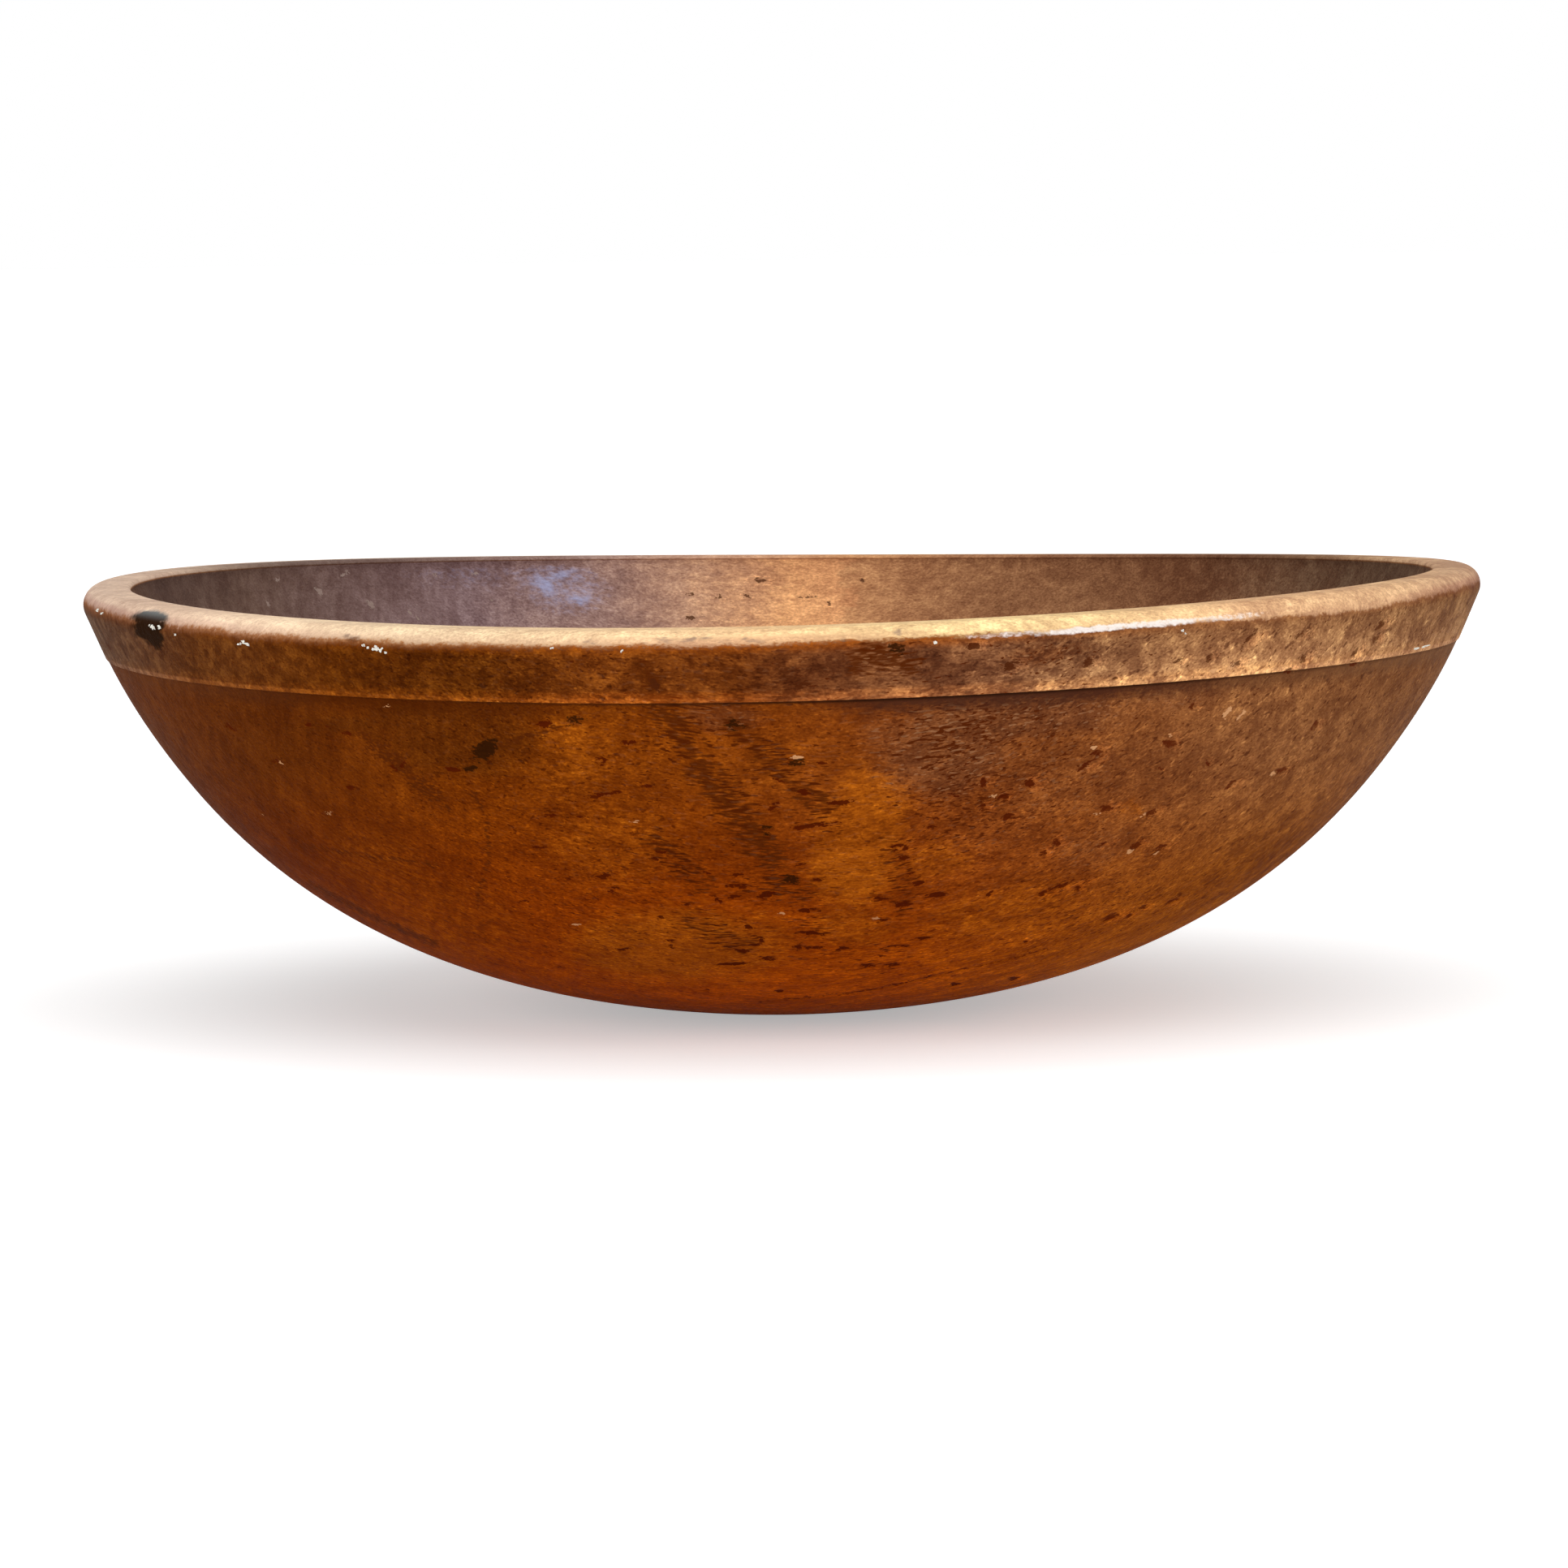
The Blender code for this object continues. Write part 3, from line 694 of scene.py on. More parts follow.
def feed(socket, source):
    # another node's socket is linked, anything else is set
    if isinstance(source, bpy.types.NodeSocket):
        nodeTree.links.new(source, socket)
    elif socket.type == "RGBA":
        socket.default_value = source + (1,)
    else:
        socket.default_value = source


def feedAll(node, sources):
    for name, source in sources.items():
        feed(node.inputs[name], source)


def addNode(kind, sources, **settings):
    node = nodeTree.nodes.new(kind)
    for name, value in settings.items():
        setattr(node, name, value)
    feedAll(node, sources)
    return node


def sums(operation, *values):
    return addNode("ShaderNodeMath", dict(enumerate(values)), operation=operation).outputs[0]


def times(*values):
    product = values[0]
    for value in values[1:]:
        product = sums("MULTIPLY", product, value)
    return product


def layered(start, *layers):
    # the start, plus each layer times its weight
    for layer, weight in layers:
        start = sums("MULTIPLY_ADD", layer, weight, start)
    return start


def stretch(value, low, high, toLow=0.0, toHigh=1.0, smooth=True):
    sources = {"Value": value, "From Min": low, "From Max": high, "To Min": toLow, "To Max": toHigh}
    kind = "SMOOTHSTEP" if smooth else "LINEAR"
    return addNode("ShaderNodeMapRange", sources, interpolation_type=kind).outputs["Result"]


def blend(share, below, above, mode="MIX"):
    # a mix node's sockets for colours are the seventh and eighth, and its third outlet
    sources = {0: share, 6: below, 7: above}
    return addNode("ShaderNodeMix", sources, data_type="RGBA", blend_type=mode).outputs[2]


def tinted(colour, tint, share):
    # the colour times a tint, as far as the share says
    return blend(share, colour, blend(1.0, colour, tint, "MULTIPLY"))


def colourSteps(value, stops):
    # a ramp of colours, or of plain numbers
    node = addNode("ShaderNodeValToRGB", {"Fac": value})
    elements = node.color_ramp.elements
    while len(elements) < len(stops):
        elements.new(0.5)
    for element, (spot, colour) in zip(elements, stops):
        element.position = spot
        element.color = (colour if isinstance(colour, tuple) else (colour,) * 3) + (1,)
    return node.outputs["Color"]


def shaded(colour, tone, redder=1.25):
    # the colour times a tone, with the darks redder
    other = sums("POWER", tone, redder)
    grey = addNode("ShaderNodeCombineColor", {"Red": tone, "Green": other, "Blue": other})
    return blend(1.0, colour, grey.outputs["Color"], "MULTIPLY")


def painted(name):
    return addNode("ShaderNodeAttribute", {}, attribute_name=name).outputs["Fac"]


def grainNoise(place, cell, detail=2.0, roughness=0.55, shift=(0, 0, 0), spread=0.12):
    # noise about 0, spread about 1, whose cells measure so many metres along the grain, across it and up
    scale = tuple(1 / size for size in cell)
    sized = addNode("ShaderNodeMapping", {"Vector": place, "Scale": scale, "Location": shift})
    sources = {"Vector": sized.outputs["Vector"], "Scale": 1.0, "Detail": detail, "Roughness": roughness}
    plain = addNode("ShaderNodeTexNoise", sources).outputs["Fac"]
    return sums("MULTIPLY_ADD", plain, 1 / spread, -0.5 / spread)


woodLook = {
    # figure of the wood: cell in metres along the grain, across and up, then the noise's detail and roughness
    "figures": {
        "fibre": ((0.0036, 0.0012, 0.0012), 2, 0.55), "fineFibre": ((0.001, 0.0006, 0.0006), 1, 0.55),
        "comb": ((0.004, 0.0008, 0.0008), 1, 0.55), "paleDash": ((0.003, 0.0008, 0.0008), 0, 0.55),
        "patch": ((0.0048, 0.0026, 0.0026), 3, 0.6), "bandPatch": ((0.0062, 0.0046, 0.0046), 3, 0.65),
        "endPatch": ((0.0038, 0.0038, 0.0038), 2, 0.6),  # where the fibres end at the surface
        "blotch": ((0.017, 0.01, 0.01), 2, 0.6), "curl": ((0.0022, 0.016, 0.014), 1, 0.55),
        "mottle": ((0.06, 0.032, 0.032), 2, 0.55),
    },
    # flecks: cell, detail, degrees that they rise, plan of their share
    "flecks": [
        ((0.0024, 0.0014, 0.0014), 1, 0, "flecked"), ((0.0034, 0.0016, 0.0014), 1, 33, "slantFlecked"),
    ],
    "twin": (0.35, 0.20, 0.45),  # from a dark fleck to its pale one, in cells
    "wander": {"scale": 28.0, "detail": 1.0, "reach": (0.004, 0.005, 0.005)},  # of the grain
    "pith": (0.36, 0.06),  # where the tree's middle lay: across the grain, up
    "ringGap": 0.0021,
    "wideRing": 0.0105,  # wider bands of growth, seen in the floor of the hollow
    # how strong each kind of figure is, from the photograph's left to its right
    "lively": [(0, 0.95), (0.2, 1.04), (0.35, 1.22), (0.62, 1.16), (0.84, 1.12), (1, 0.98)],
    "endGrain": [(0, 1), (0.1, 0.8), (0.24, 0.35), (0.4, 0), (0.66, 0), (0.8, 0.85), (1, 1)],
    "patchy": [(0, 0.8), (0.3, 0.9), (0.52, 0.85), (0.62, 1.3), (0.85, 1.5), (1, 1.2)],
    "bandPatchy": [(0, 1), (0.3, 1.15), (0.66, 1.2), (0.76, 0.8), (0.84, 0.6), (1, 0.65)],
    "combed": [(0, 0.2), (0.28, 0.35), (0.42, 0.85), (0.7, 1), (0.8, 0.55), (1, 0.25)],
    "flecked": [(0, 0.45), (0.2, 0.5), (0.32, 0.85), (0.48, 0.6), (0.66, 0.7), (0.78, 0.2), (1, 0.1)],
    "slantFlecked": [(0, 0), (0.58, 0), (0.7, 0.8), (0.82, 1), (1, 0.8)],
    "crisp": [
        (0, 0.09), (0.2, 0.1), (0.3, 0.14), (0.42, 0.11), (0.55, 0.11), (0.62, 0.13), (0.8, 0.14), (1, 0.13),
    ],
    "curled": [(0, 0.7), (0.18, 1), (0.38, 0.6), (0.5, 0.2), (1, 0.2)],
    "cloudy": [(0, 0.09), (0.35, 0.1), (0.6, 0.13), (0.75, 0.16), (1, 0.15)],
    # wood of the outside, left to right, paler towards the right partly as painted sheen, with tints half-way
    # down the wall, under that and low at the right
    "outside": [
        (0, (0.105, 0.028, 0.006)), (0.15, (0.115, 0.024, 0.002)), (0.3, (0.168, 0.033, 0.0012)),
        (0.45, (0.218, 0.045, 0.0025)), (0.58, (0.215, 0.048, 0.0055)), (0.7, (0.216, 0.062, 0.014)),
        (0.82, (0.236, 0.087, 0.029)), (1, (0.15, 0.056, 0.02)),
    ],
    "middle": (1.15, 0.90, 0.42),
    # lighter low on the wall: painted light from below
    "low": (2.00, 2.10, 0.50),
    # darker low at the right: painted shade where the wall turns from the light
    "lowRight": (0.70, 0.58, 0.25),
    # wood of the band under the rim, with a tint under the rim at the right
    "band": [
        (0, (0.108, 0.056, 0.032)), (0.1, (0.105, 0.031, 0.0065)), (0.2, (0.118, 0.028, 0.0022)),
        (0.3, (0.096, 0.022, 0.0018)), (0.38, (0.152, 0.035, 0.004)), (0.47, (0.118, 0.027, 0.004)),
        (0.64, (0.188, 0.07, 0.029)), (0.8, (0.485, 0.232, 0.098)), (1, (0.255, 0.12, 0.054)),
    ],
    "bandTop": (0.66, 0.61, 0.57),
    "bandFall": [(0, 0), (0.56, 0), (0.64, 0.25), (0.76, 1), (1, 1)],
    # wood of the hollow, across the far wall: darker at both ends as painted shade, lighter and greyer in the
    # middle as painted light and reflection
    "hollow": [
        (0, (0.112, 0.071, 0.056)), (0.1, (0.147, 0.087, 0.066)), (0.26, (0.224, 0.14, 0.14)),
        (0.36, (0.33, 0.196, 0.162)), (0.43, (0.455, 0.245, 0.155)), (0.51, (0.68, 0.322, 0.142)),
        (0.548, (0.67, 0.31, 0.137)), (0.556, (0.475, 0.22, 0.099)), (0.66, (0.3, 0.133, 0.06)),
        (0.81, (0.186, 0.077, 0.036)), (0.93, (0.136, 0.076, 0.045)), (1, (0.114, 0.066, 0.043)),
    ],
    "hollowFloor": (0.250, 0.120, 0.062),
    # worn pale rim, its colour partly a painted highlight, with painted shade where it rolls over and a tint
    # where it goes over into the band
    "worn": [
        (0, (0.64, 0.46, 0.35)), (0.12, (0.8, 0.57, 0.4)), (0.25, (0.88, 0.66, 0.42)),
        (0.48, (0.86, 0.56, 0.29)), (0.64, (0.94, 0.68, 0.33)), (0.8, (0.77, 0.46, 0.24)),
        (0.92, (0.64, 0.385, 0.21)), (1, (0.47, 0.28, 0.175)),
    ],
    # the rim seen across the hollow: its wear, with painted light in the middle and painted shade at the ends
    "wornBackAndPaintedLight": [
        (0, (0.12, 0.075, 0.056)), (0.2, (0.19, 0.12, 0.1)), (0.35, (0.34, 0.215, 0.18)),
        (0.45, (0.56, 0.31, 0.2)), (0.55, (0.64, 0.32, 0.15)), (0.66, (0.38, 0.18, 0.09)),
        (0.8, (0.19, 0.085, 0.045)), (1, (0.11, 0.062, 0.038)),
    ],
    "wornRound": 1.27,  # where the wear ends, in radii of the rim's corner
    # painted shade on the rim's roll, darker than its top where more light falls
    "rollShade": (0.74, 0.64, 0.66),
    "rolled": [
        (0, 0.9), (0.12, 0.6), (0.24, 0.4), (0.36, 0.5), (0.44, 1), (0.52, 0.9), (0.6, 0.3), (0.8, 0.2),
        (0.9, 0.3), (0.96, 1), (1, 1),
    ],
    "wornFade": [
        (0, (0.46, 0.28, 0.16)), (0.3, (0.46, 0.29, 0.19)), (0.56, (0.45, 0.3, 0.22)),
        (0.66, (0.36, 0.25, 0.2)), (1, (0.44, 0.3, 0.21)),
    ],
    "soften": [(0, 0.9), (0.22, 0.75), (0.36, 0.35), (0.5, 0.15), (0.8, 0.25), (1, 0.8)],
    "reach": [
        (0, 0.15), (0.12, 0.3), (0.3, 0.28), (0.4, 0.4), (0.48, 0.48), (0.56, 0.15), (0.66, 0.2),
        (0.76, 0.45), (0.89, 1.35), (0.96, 0.6), (1, 0.5),
    ],
    # wear along the band's lower edge, times the band's own colour and partly a painted highlight, a painted
    # highlight along its lip, and painted shade under it
    "edgeWearAndHighlight": (2.05, 2.00, 1.65),
    "edgeShare": [
        (0, 0.25), (0.15, 0.35), (0.22, 0.45), (0.32, 0.85), (0.4, 1), (0.6, 0.85), (0.72, 0.4), (1, 0.1),
    ],
    # painted highlight where the lip catches the light
    "lipHighlight": (1.75, 1.90, 2.30),
    "lipShare": [(0, 0.6), (0.1, 0.9), (0.3, 0.8), (0.45, 0.3), (0.6, 0.1), (0.8, 0.15), (1, 0.4)],
    # painted shade on the wall under the band's step
    "grime": [
        (0, (0.1, 0.045, 0.02)), (0.2, (0.06, 0.011, 0.001)), (0.5, (0.062, 0.011, 0.0015)),
        (0.57, (0.058, 0.018, 0.009)), (0.74, (0.06, 0.018, 0.009)), (0.84, (0.115, 0.043, 0.017)),
        (1, (0.17, 0.085, 0.042)),
    ],
    "shadeUnderStepShare": [
        (0, 0.1), (0.12, 0.35), (0.2, 0.75), (0.36, 0.45), (0.45, 0.2), (0.51, 0.3), (0.56, 0.9), (0.7, 0.95),
        (0.78, 0.75), (0.92, 0.6), (1, 0.3),
    ],
    # a darker painted shadow line in the corner under the step
    "dirt": (0.022, 0.007, 0.003),
    "cornerShadeShare": [(0, 0), (0.22, 0.05), (0.4, 0.6), (0.55, 0.9), (0.76, 0.75), (1, 0.1)],
    # colours of the marks
    "stain": (0.086, 0.0165, 0.0018),
    "dash": (0.078, 0.012, 0.0010),
    # pale dashes, partly painted glints of light off the fibres
    "paleFibre": (0.330, 0.150, 0.066),
    "blot": (0.024, 0.0065, 0.0012),
    "dusky": (0.162, 0.051, 0.0170),
    "olive": (0.088, 0.0195, 0.0016),
    "gold": (0.365, 0.086, 0.004),
    "pit": (0.074, 0.0078, 0.0007),
    "pitInside": (0.125, 0.050, 0.024),
    "pitBand": (0.068, 0.0140, 0.0030),
    "pitShare": [(0, 0.75), (0.3, 1), (0.62, 1), (0.76, 0.9), (1, 0.75)],
    "pale": (0.640, 0.330, 0.150),
    "paleInside": (0.320, 0.235, 0.200),
    "halo": (1.50, 1.50, 1.45),  # times the wood beside a pit, partly a painted highlight on its raised edge, and in pale rings round the hollow's eyes
    "knot": (0.016, 0.006, 0.002),
    # painted bluish sheen on the knot's top
    "knotTopSheen": (0.165, 0.180, 0.180),
    # bluish colour of the painted reflection in the hollow
    "haze": (0.390, 0.430, 0.680),
    # colour of the painted highlight on the rim
    "sheen": (0.860, 0.790, 0.740),
    "smudge": (0.260, 0.165, 0.120),
    # how painted marks show: ripple of the edge, where it starts and is full, most, and what breaks it up
    "shows": {
        "gold": (0.10, 0, 1, 0.80, "ragged"), "olive": (0.08, 0, 1, 0.70, "ragged"),
        "dusky": (0.10, 0, 1, 0.90, "comb"), "stain": (0.44, 0.14, 0.86, 0.90, "comb"),
        "smudge": (0.20, 0.10, 0.90, 0.75, "ragged"), "sheen": (0.16, 0, 1.15, 0.90, "crumb"),
        "haze": (0.11, 0, 1, 0.75, "ragged"), "halo": (0.20, 0.10, 0.90, 0.90, "crumb"),
        "pale": (0.22, 0.30, 0.56, 0.80, "crumb"), "pit": (0.26, 0.30, 0.52, 0.95, "crumb"),
        "blot": (0.20, 0.25, 0.55, 0.92, "crumb"), "knot": (0.05, 0, 0.75, 0.97, "ragged"),
    },
    # masks along the section: from metres past one mark to metres past another, and the values there
    "zones": {
        "inside": ("ease", -0.0016, "ease", -0.0006, 1, 0), "bandTop": ("corner", -0.004, "corner", 0, 0, 1),
        "bandEnd": ("lip", -0.0002, "lip", 0.0002, 1, 0),
        "bandFall": ("corner", -0.001, "face", -0.002, 1, 0),
        "wall": ("corner", -0.003, "corner", 0, 0.35, 1), "edge": ("face", -0.0042, "face", -0.0014, 0, 1),
        "edgeEnd": ("lip", -0.0003, "lip", 0, 1, 0), "lipLine": ("face", -0.0014, "face", -0.0006, 0, 1),
        "under": ("lip", -0.0002, "lip", 0.0002, 0, 1), "grime": ("step", 0.0012, "step", 0.0075, 1, 0),
        "dirt": ("step", 0.0003, "step", 0.0014, 1, 0), "wornStart": ("ease", -0.0026, "ease", -0.0014, 0, 1),
        "innerRim": ("rimTop", -0.005, "rimTop", -0.0005, 1, 0.35),
        "roll": ("rimTop", 0.0032, "rimTop", 0.005, 0, 1), "top": ("rimTop", 0.003, "rimTop", 0.007, 1, 0),
        "crisp": ("worn", -0.0016, "worn", 0.0006, 1, 0), "soft": ("worn", -0.0028, "worn", 0.0026, 1, 0),
    },
    # a value between the first two numbers becomes 0 to 1, or one between the last two
    "ranges": {
        "middle": (0.095, 0.040), "low": (0.062, -0.004), "lowRight": (0.075, 0.042), "right": (0.70, 0.86),
        "hollowShade": (0.131, 0.112, 0.90, 1.14), "floorDepth": (0.35, 0.60, 0.9, 0),
        "floorHeight": (0.045, 0.106, 0.9, 0), "backRim": (0.58, 0.80), "ringFade": (-1.0, 1.5),
        "patch": (-0.5, 0.6, -0.10, 0.09), "bandPatch": (-0.5, 0.5, -0.20, 0.15),
        "clouds": (-1.2, 1.2, -1, 1), "paleFleck": (1.15, 1.60, 0, 0.36), "darkFleck": (1.15, 1.55, 0, -0.60),
        "dash": (1.65, 1.95, 0, 0.92), "paleDash": (1.4, 1.75, 0, 0.65), "ragged": (-2.2, 1.4, 0.40, 1),
        "insideFlecks": (0, 1, 1, 0.7), "insideCalm": (0, 1, 1, 0.82), "insideDashes": (0, 1, 1, 0.3),
        "fade": (0, 0.55), "cream": (0.40, 1), "shown": (0, 0.2),
    },
    # how much of one thing goes into another
    "weights": {
        "patchInRagged": 0.6, "fineInCrumb": 0.8, "raggedInHollow": 0.004, "blotchInHollow": 0.006,
        "fibre": 0.065, "comb": 0.04, "bandClouds": 0.5, "ring": -0.06, "wideRing": 0.09, "mottleInRing": 1.2,
        "mottle": 0.08, "curl": 0.07, "driftInDashes": 1.30, "duskyInPale": 0.85, "leastPale": 0.15,
        "raggedInGrime": 0.0005, "reach": -0.0020, "raggedInWear": 0.00022, "fineInWear": 0.00022,
        "blotchInWear": 0.00030, "figureInWear": 0.75, "mottleInWear": 0.05,
    },
    "gloss": {"rough": 0.52, "patchInRough": 0.04, "specular": 0.002},
    "bump": {"strength": 0.6, "distance": 0.00012, "fibre": 0.5, "patch": 0.8, "fineFibre": 0.3},
}


def makeWaxedWood(look, shape, runMarks):
    wood = bpy.data.materials.new("old_waxed_maple")
    shader = startNodes(wood)["Principled BSDF"]
    place = addNode("ShaderNodeTexCoord", {}).outputs["Object"]
    run = painted("run")
    height = addNode("ShaderNodeSeparateXYZ", {0: place}).outputs["Z"]
    around = photoView["around"]
    weights = look["weights"]
    sectionMarks = {**runMarks, "worn": runMarks["rimTop"] + shape["rimRound"] * look["wornRound"]}

    # the photograph's left to right and front to back, 0 to 1
    def measured(direction):
        node = addNode("ShaderNodeVectorMath", {0: place, 1: direction}, operation="DOT_PRODUCT")
        return stretch(node.outputs["Value"], -rimRadius, rimRadius, smooth=False)

    breadth = measured((cos(around), sin(around), 0))
    depth = measured((-sin(around), cos(around), 0))

    # a colour or a share that changes from the photograph's left to its right
    def plan(name):
        return colourSteps(breadth, look[name])

    def ranged(name, value, smooth=True):
        return stretch(value, *look["ranges"][name], smooth=smooth)

    def zone(name, along=run, smooth=True):
        startMark, start, endMark, end, low, high = look["zones"][name]
        return stretch(along, sectionMarks[startMark] + start, sectionMarks[endMark] + end, low, high, smooth)

    # the grain lies along the photograph's breadth and wanders a little
    along = addNode("ShaderNodeMapping", {"Vector": place, "Rotation": (0, 0, -around)}).outputs["Vector"]
    wander = look["wander"]
    sources = {"Vector": place, "Scale": wander["scale"], "Detail": wander["detail"]}
    wandering = addNode("ShaderNodeTexNoise", sources).outputs["Color"]
    sources = {0: wandering, 1: wander["reach"], 2: along}
    grain = addNode("ShaderNodeVectorMath", sources, operation="MULTIPLY_ADD").outputs["Vector"]

    figures = {name: grainNoise(grain, *settings) for name, settings in look["figures"].items()}
    fibre, fineFibre, comb = figures["fibre"], figures["fineFibre"], figures["comb"]
    patch, blotch, mottle = figures["patch"], figures["blotch"], figures["mottle"]
    ragged = figures["ragged"] = layered(fibre, (patch, weights["patchInRagged"]))
    figures["crumb"] = layered(fibre, (fineFibre, weights["fineInCrumb"]))

    # a painted tone, broken up by the figure of the wood
    def broken(name):
        ripple, low, high, most, figureName = look["shows"][name]
        shown = painted(name)
        edge = layered(shown, (figures[figureName], ripple))
        return times(stretch(edge, low, high, 0.0, most), ranged("shown", shown))

    def marked(colour, name):
        return blend(broken(name), colour, look[name])

    # growth rings round the tree's middle
    spread = addNode("ShaderNodeSeparateXYZ", {0: grain})
    across = sums("SUBTRACT", spread.outputs["Y"], look["pith"][0])
    up = sums("SUBTRACT", spread.outputs["Z"], look["pith"][1])
    away = sums("SQRT", sums("ADD", times(across, across), times(up, up)))
    wave = sums("SINE", times(away, 2 * pi / look["ringGap"]))
    ring = times(sums("MULTIPLY_ADD", wave, 0.5, 0.5), ranged("ringFade", mottle))
    bent = layered(times(mottle, weights["mottleInRing"]), (away, 2 * pi / look["wideRing"]))

    # wood of the outside, the band and the hollow
    inside = zone("inside")
    onBand = times(zone("bandTop"), zone("bandEnd"))
    # the outside is paler towards the right partly as painted sheen
    outside = plan("outside")
    # the low tint lightens the lower wall as painted light from below
    for name in ("middle", "low"):
        outside = tinted(outside, look[name], ranged(name, height))
    # painted shade low at the right
    outside = tinted(outside, look["lowRight"], times(ranged("lowRight", height), ranged("right", breadth)))
    band = tinted(plan("band"), look["bandTop"], times(zone("bandFall", smooth=False), plan("bandFall")))
    colour = marked(marked(blend(onBand, outside, band), "gold"), "olive")
    dusky = broken("dusky")
    colour = blend(dusky, colour, look["dusky"])
    # across the far wall the hollow's colour carries painted shade at its ends and painted light in its
    # middle
    frayed = layered(breadth, (ragged, weights["raggedInHollow"]), (blotch, weights["blotchInHollow"]))
    hollow = shaded(colourSteps(frayed, look["hollow"]), ranged("hollowShade", height, smooth=False))
    onFloor = sums("MAXIMUM", ranged("floorDepth", depth), ranged("floorHeight", height))
    colour = blend(inside, colour, blend(onFloor, hollow, look["hollowFloor"]))

    # the figure lightens and darkens the wood
    combed = plan("combed")
    ended = plan("endGrain")
    lengthwise = sums("SUBTRACT", 1.0, ended)
    patches = times(ranged("patch", patch), lengthwise)
    patches = layered(patches, (ranged("patch", figures["endPatch"]), ended))
    clouds = times(ranged("clouds", blotch), plan("cloudy"))
    figure = layered(
        times(fibre, weights["fibre"], lengthwise),
        (fineFibre, plan("crisp")),
        (times(comb, combed), weights["comb"]),
        (patches, plan("patchy")),
        (times(ranged("bandPatch", figures["bandPatch"]), plan("bandPatchy")), onBand),
        (clouds, 1.0),
        (clouds, times(onBand, weights["bandClouds"])),
        (ring, weights["ring"]),
        (times(sums("SINE", bent), times(onFloor, inside)), weights["wideRing"]),
    )
    speckled = times(zone("wall"), ranged("insideFlecks", inside))
    for cell, detail, rise, share in look["flecks"]:
        sources = {"Vector": grain, "Rotation": (0, radians(rise), 0)}
        leaning = addNode("ShaderNodeMapping", sources).outputs["Vector"]
        dark = ranged("darkFleck", grainNoise(leaning, cell, detail))
        light = ranged("paleFleck", grainNoise(leaning, cell, detail, shift=look["twin"]))
        figure = layered(figure, (times(sums("ADD", light, dark), speckled), plan(share)))
    calm = ranged("insideCalm", inside, smooth=False)
    tone = layered(
        times(mottle, weights["mottle"]), (figure, times(plan("lively"), calm)),
        (times(figures["curl"], plan("curled")), weights["curl"]),
    )
    colour = shaded(colour, sums("EXPONENT", tone))

    # pale and dark dashes of fibre, in drifts; the pale ones partly painted glints of light off the fibres
    colour = marked(colour, "stain")
    crowded = layered(comb, (painted("drift"), weights["driftInDashes"]))
    dashes = times(ranged("dash", crowded), ranged("insideDashes", inside))
    colour = blend(dashes, colour, look["dash"])
    pale = sums("MULTIPLY_ADD", dusky, weights["duskyInPale"], weights["leastPale"])
    colour = blend(times(ranged("paleDash", figures["paleDash"]), pale, combed), colour, look["paleFibre"])

    # golden wear and a painted highlight along the band's lower edge, painted shade in the corner under it
    edge = times(zone("edge"), zone("edgeEnd"), ranged("ragged", ragged), plan("edgeShare"))
    colour = tinted(colour, look["edgeWearAndHighlight"], edge)
    # painted highlight along the lip
    colour = tinted(colour, look["lipHighlight"], times(zone("lipLine"), zone("edgeEnd"), plan("lipShare")))
    under = zone("under")
    frayed = layered(run, (ragged, weights["raggedInGrime"]))
    # painted shade under the step, and a painted shadow line in its corner
    colour = blend(times(under, zone("grime", frayed), plan("shadeUnderStepShare")), colour, plan("grime"))
    colour = blend(times(under, zone("dirt"), plan("cornerShadeShare")), colour, look["dirt"])

    # worn pale rim, its colour partly a painted highlight, with painted shade on its roll, fading into the
    # band through brown
    frayed = layered(
        run, (plan("reach"), weights["reach"]), (ragged, weights["raggedInWear"]),
        (fineFibre, weights["fineInWear"]), (blotch, weights["blotchInWear"]),
    )
    # at the back the rim's colour carries painted light in the middle and painted shade at the ends
    worn = blend(times(ranged("backRim", depth), zone("innerRim")), plan("worn"), plan("wornBackAndPaintedLight"))
    tone = layered(times(mottle, weights["mottleInWear"]), (figure, weights["figureInWear"]))
    worn = shaded(worn, sums("EXPONENT", tone))
    # painted shade where the rim rolls over
    worn = tinted(worn, look["rollShade"], times(zone("roll", frayed), plan("rolled")))
    worn = marked(worn, "smudge")
    cream = times(zone("wornStart"), blend(plan("soften"), zone("crisp", frayed), zone("soft", frayed)))
    colour = blend(ranged("fade", cream), colour, blend(1.0, worn, plan("wornFade"), "MULTIPLY"))
    colour = blend(ranged("cream", cream), colour, worn)
    # painted highlight along the rim's outer corner
    colour = marked(colour, "sheen")

    # small marks over everything
    # a bluish painted reflection on the far wall of the hollow
    colour = marked(colour, "haze")
    # lighter wood and a painted highlight beside the pits
    colour = tinted(colour, look["halo"], broken("halo"))
    # pale flecks, partly painted glints on the edges of pits
    colour = blend(broken("pale"), colour, blend(inside, look["pale"], look["paleInside"]))
    pitted = blend(inside, blend(onBand, look["pit"], look["pitBand"]), look["pitInside"])
    colour = blend(times(broken("pit"), plan("pitShare")), colour, pitted)
    colour = marked(colour, "blot")
    # black knot, with a painted bluish sheen where it crosses the rim's top
    colour = blend(broken("knot"), colour, blend(zone("top"), look["knot"], look["knotTopSheen"]))

    gloss, bump = look["gloss"], look["bump"]
    relief = layered(times(fibre, bump["fibre"]), (patch, bump["patch"]), (fineFibre, bump["fineFibre"]))
    sources = {"Strength": bump["strength"], "Distance": bump["distance"], "Height": relief}
    feedAll(shader, {
        "Base Color": colour,
        "Roughness": sums("MULTIPLY_ADD", patch, gloss["patchInRough"], gloss["rough"]),
        "Specular IOR Level": gloss["specular"],
        "Normal": addNode("ShaderNodeBump", sources).outputs["Normal"],
    })
    return wood


